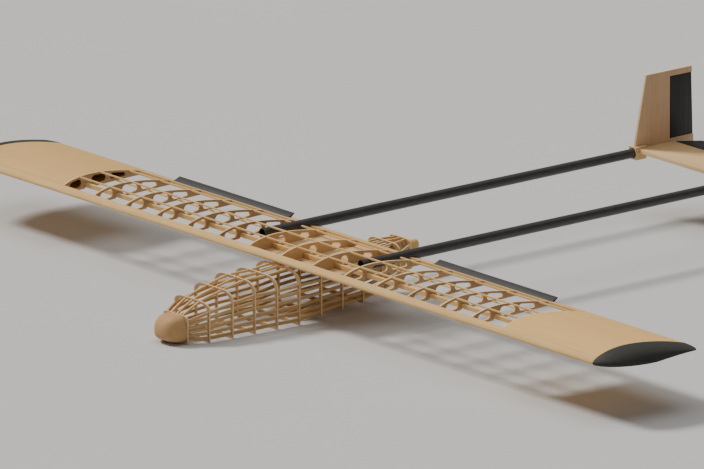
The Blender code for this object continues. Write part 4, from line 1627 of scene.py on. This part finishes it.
    def wall_lines(self) -> list[list[Point]]:
        """Draws the chains of the wall strips.

        Returns:
            The chains, nose to tail.
        """
        inside = self.proud + self.strip / 2
        return [
            [(sign * (s.wall_half - inside), s.y, self.wall_levels(s)[row]) for s in self.stations]
            for sign in SIDES.values()
            for row in range(self.wall_rows)
        ]

    def basket(self) -> None:
        """The long strips with the front ring and the rear bulkhead that close them."""
        material = STICK.build(self.groups, "pod_strips", Grain.LENGTH)
        values = {"Strip Width": self.strip, "Strip Height": self.strip, "Steps": 5, "Material": material}
        run = self.trees.strips.run
        deck = run(chains("deck_lines", self.deck_lines()), "deck_strips", values, Shade.SOFT)
        values["Strip Height"] = self.wall_strip
        wall = run(chains("wall_lines", self.wall_lines()), "wall_strips", values, Shade.SOFT)
        first, last, sheet = self.stations[0], self.stations[-1], self.former_thickness
        front, back = (corner.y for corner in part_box("pod_stringer_cage"))
        hoop = [first.outline(0.0, 0.0), first.outline(self.former_rim, self.bow_rim)[::-1]]
        points, faces = slab(hoop, front, first.y + sheet / 2, lambda x, z, y: (x, y, z))
        ring = make_piece("front_ring", points, faces, Shade.SOFT)
        board = [last.outline(0.0, 0.0)]
        points, faces = slab(board, back - 2 * sheet, back, lambda x, z, y: (x, y, z))
        bulkhead = make_piece("rear_bulkhead", points, faces, Shade.SOFT)
        self.fit(deck, material, "stick_balsa", ["pod_stringer_cage"])
        # Painted shade: the wall strips take the darker copy of the strip wood, while the deck strips keep
        # the plain strip tone.
        self.fit(wall, SHADED_WALL_STRIP.build(self.groups, "wall_strips", Grain.LENGTH), "stick_balsa")
        ends = SHEET.build(self.groups, "basket_ends", Grain.UPRIGHT, AFT)
        self.fit(ring, ends, "stick_balsa")
        self.fit(bulkhead, ends, "stick_balsa")

    def beads(self) -> None:
        """Small glue beads where the upper strips meet the formers."""
        half, paths = self.former_thickness / 2, []
        for s in self.stations[1:-1]:
            height = self.wall_levels(s)[0] + self.wall_strip / 2
            for sign in SIDES.values():
                paths.append([(sign * (s.wall_half - self.bead_inset), s.y - half, height)])
        material = GlueFinish().build(self.groups, "pod")
        values = {"Bead Radius": self.bead_radius, "Seed": self.bead_seed, "Material": material}
        spots = chains("bead_spots", paths)
        piece = self.trees.beads.run(spots, "pod_glue_beads", values, Shade.ROUND)
        self.fit(piece, material, "stick_balsa")

    def boss(self) -> None:
        """The turned boss, with a small chamfer at its end."""
        piece = softened("motor_boss", "turned_boss", self.boss_chamfer)
        material = BLOCK.build(self.groups, piece.name, Grain.LENGTH)
        self.fit(piece, material, "stick_balsa", ["motor_boss"])


# --- studio --------------------------------------------------------------------------------------


@dataclass
class Studio:
    """Camera, floor and soft lights."""

    azimuth: float = 50.5
    elevation: float = 15.3
    aim: Point = (0.0, 0.139, 0.1017)
    distance: float = 31.0
    lens: float = 1090.6
    sensor: float = 36.0
    far: float = 300.0
    floor_size: float = 240.0
    floor_drop: float = 0.0002
    floor_roughness: float = 0.9
    floor_tones: tuple[Colour, Colour] = ((0.60, 0.60, 0.61), (0.63, 0.63, 0.63))
    cloud_scale: float = 3.0
    surround: Colour = (0.88, 0.87, 0.86)
    surround_light: float = 0.22
    surround_seen: float = 0.72

    def build(self) -> None:
        """Sets up everything that is not the object."""
        self.camera()
        self.floor()
        self.lights()
        self.world()

    def back(self) -> Vector:
        """Gives the way from the aim to the camera.

        Returns:
            A direction of length 1.
        """
        a, e = math.radians(self.azimuth), math.radians(self.elevation)
        return Vector((math.sin(a) * math.cos(e), -math.cos(a) * math.cos(e), math.sin(e)))

    def camera(self) -> None:
        """A long lens at the given viewing angle."""
        data = bpy.data.cameras.new("camera")
        data.lens = self.lens
        data.sensor_width = self.sensor
        data.clip_end = self.far
        camera = bpy.data.objects.new("camera", data)
        camera.location = Vector(self.aim) + self.back() * self.distance
        camera.rotation_euler = (-self.back()).to_track_quat("-Z", "Y").to_euler()
        bpy.context.scene.collection.objects.link(camera)
        bpy.context.scene.camera = camera

    def floor(self) -> None:
        """A wide pale floor."""
        half, signs = self.floor_size / 2, ((-1, -1), (1, -1), (1, 1), (-1, 1))
        corners = [(half * across, half * aft, -self.floor_drop) for across, aft in signs]
        floor = make_piece("floor", corners, [(0, 1, 2, 3)], Shade.FACETED)
        material, shader = shaded_material("pale_floor")
        tree = material.node_tree
        place = add_node(tree, "ShaderNodeTexCoord", {}).outputs["Object"]
        links = {"Vector": place, "Scale": self.cloud_scale, "Detail": 3.0}
        noise = add_node(tree, "ShaderNodeTexNoise", links).outputs["Fac"]
        low, high = ((*tone, 1.0) for tone in self.floor_tones)
        mixer = add_node(tree, "ShaderNodeMix", {}, data_type="RGBA")
        for index, value in ((0, noise), (6, low), (7, high)):
            feed(tree, mixer.inputs[index], value)
        tree.links.new(mixer.outputs[2], shader.inputs["Base Color"])
        shader.inputs["Roughness"].default_value = self.floor_roughness
        floor.data.materials.append(material)

    @staticmethod
    def lamp(name: str, source: Point, strength: float, width: float, colour: Colour) -> None:
        """Adds one broad even light that comes from a direction.

        Args:
            name: the light's name.
            source: the direction that it comes from, as a point seen from the aim.
            strength: its strength.
            width: how wide its source looks, in degrees, which softens its shadows.
            colour: its colour.
        """
        data = bpy.data.lights.new(name, "SUN")
        data.energy = strength
        data.angle = math.radians(width)
        data.color = colour
        lamp = bpy.data.objects.new(name, data)
        lamp.location = source
        lamp.rotation_euler = Vector(source).to_track_quat("Z", "Y").to_euler()
        bpy.context.scene.collection.objects.link(lamp)

    def lights(self) -> None:
        """A key from starboard and above, a soft top light and a weak fill."""
        self.lamp("key", (-2.6, -1.0, 2.9), 2.9, 14.0, (1.0, 0.965, 0.91))
        self.lamp("top", (-0.3, 0.5, 3.6), 0.9, 50.0, (1.0, 0.98, 0.95))
        self.lamp("fill", (3.0, -2.2, 1.2), 0.12, 60.0, (1.0, 0.97, 0.94))

    def world(self) -> None:
        """An even pale surround, seen paler than it lights."""
        world = bpy.data.worlds.new("surround")
        bpy.context.scene.world = world
        world.use_nodes = True
        tree = world.node_tree
        shade = tree.nodes["Background"]
        shade.inputs["Color"].default_value = (*self.surround, 1.0)
        seen = add_node(tree, "ShaderNodeLightPath", {}).outputs["Is Camera Ray"]
        links = {"Value": seen, "To Min": self.surround_light, "To Max": self.surround_seen}
        strength = add_node(tree, "ShaderNodeMapRange", links).outputs["Result"]
        feed(tree, shade.inputs["Strength"], strength)


# --- main ----------------------------------------------------------------------------------------


def main() -> None:
    """Loads the frame, builds each sub-assembly in order and the studio round them."""
    logging.basicConfig(level=logging.INFO, format="%(name)s: %(message)s")
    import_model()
    shared = (Groups(), Trees(), WingSection())
    for maker in (Wing(*shared), Surfaces(*shared), Tail(*shared), Pod(*shared)):
        LOG.info("building %s", type(maker).__name__)
        maker.build()
    Studio().build()


if __name__ == "__main__":
    main()
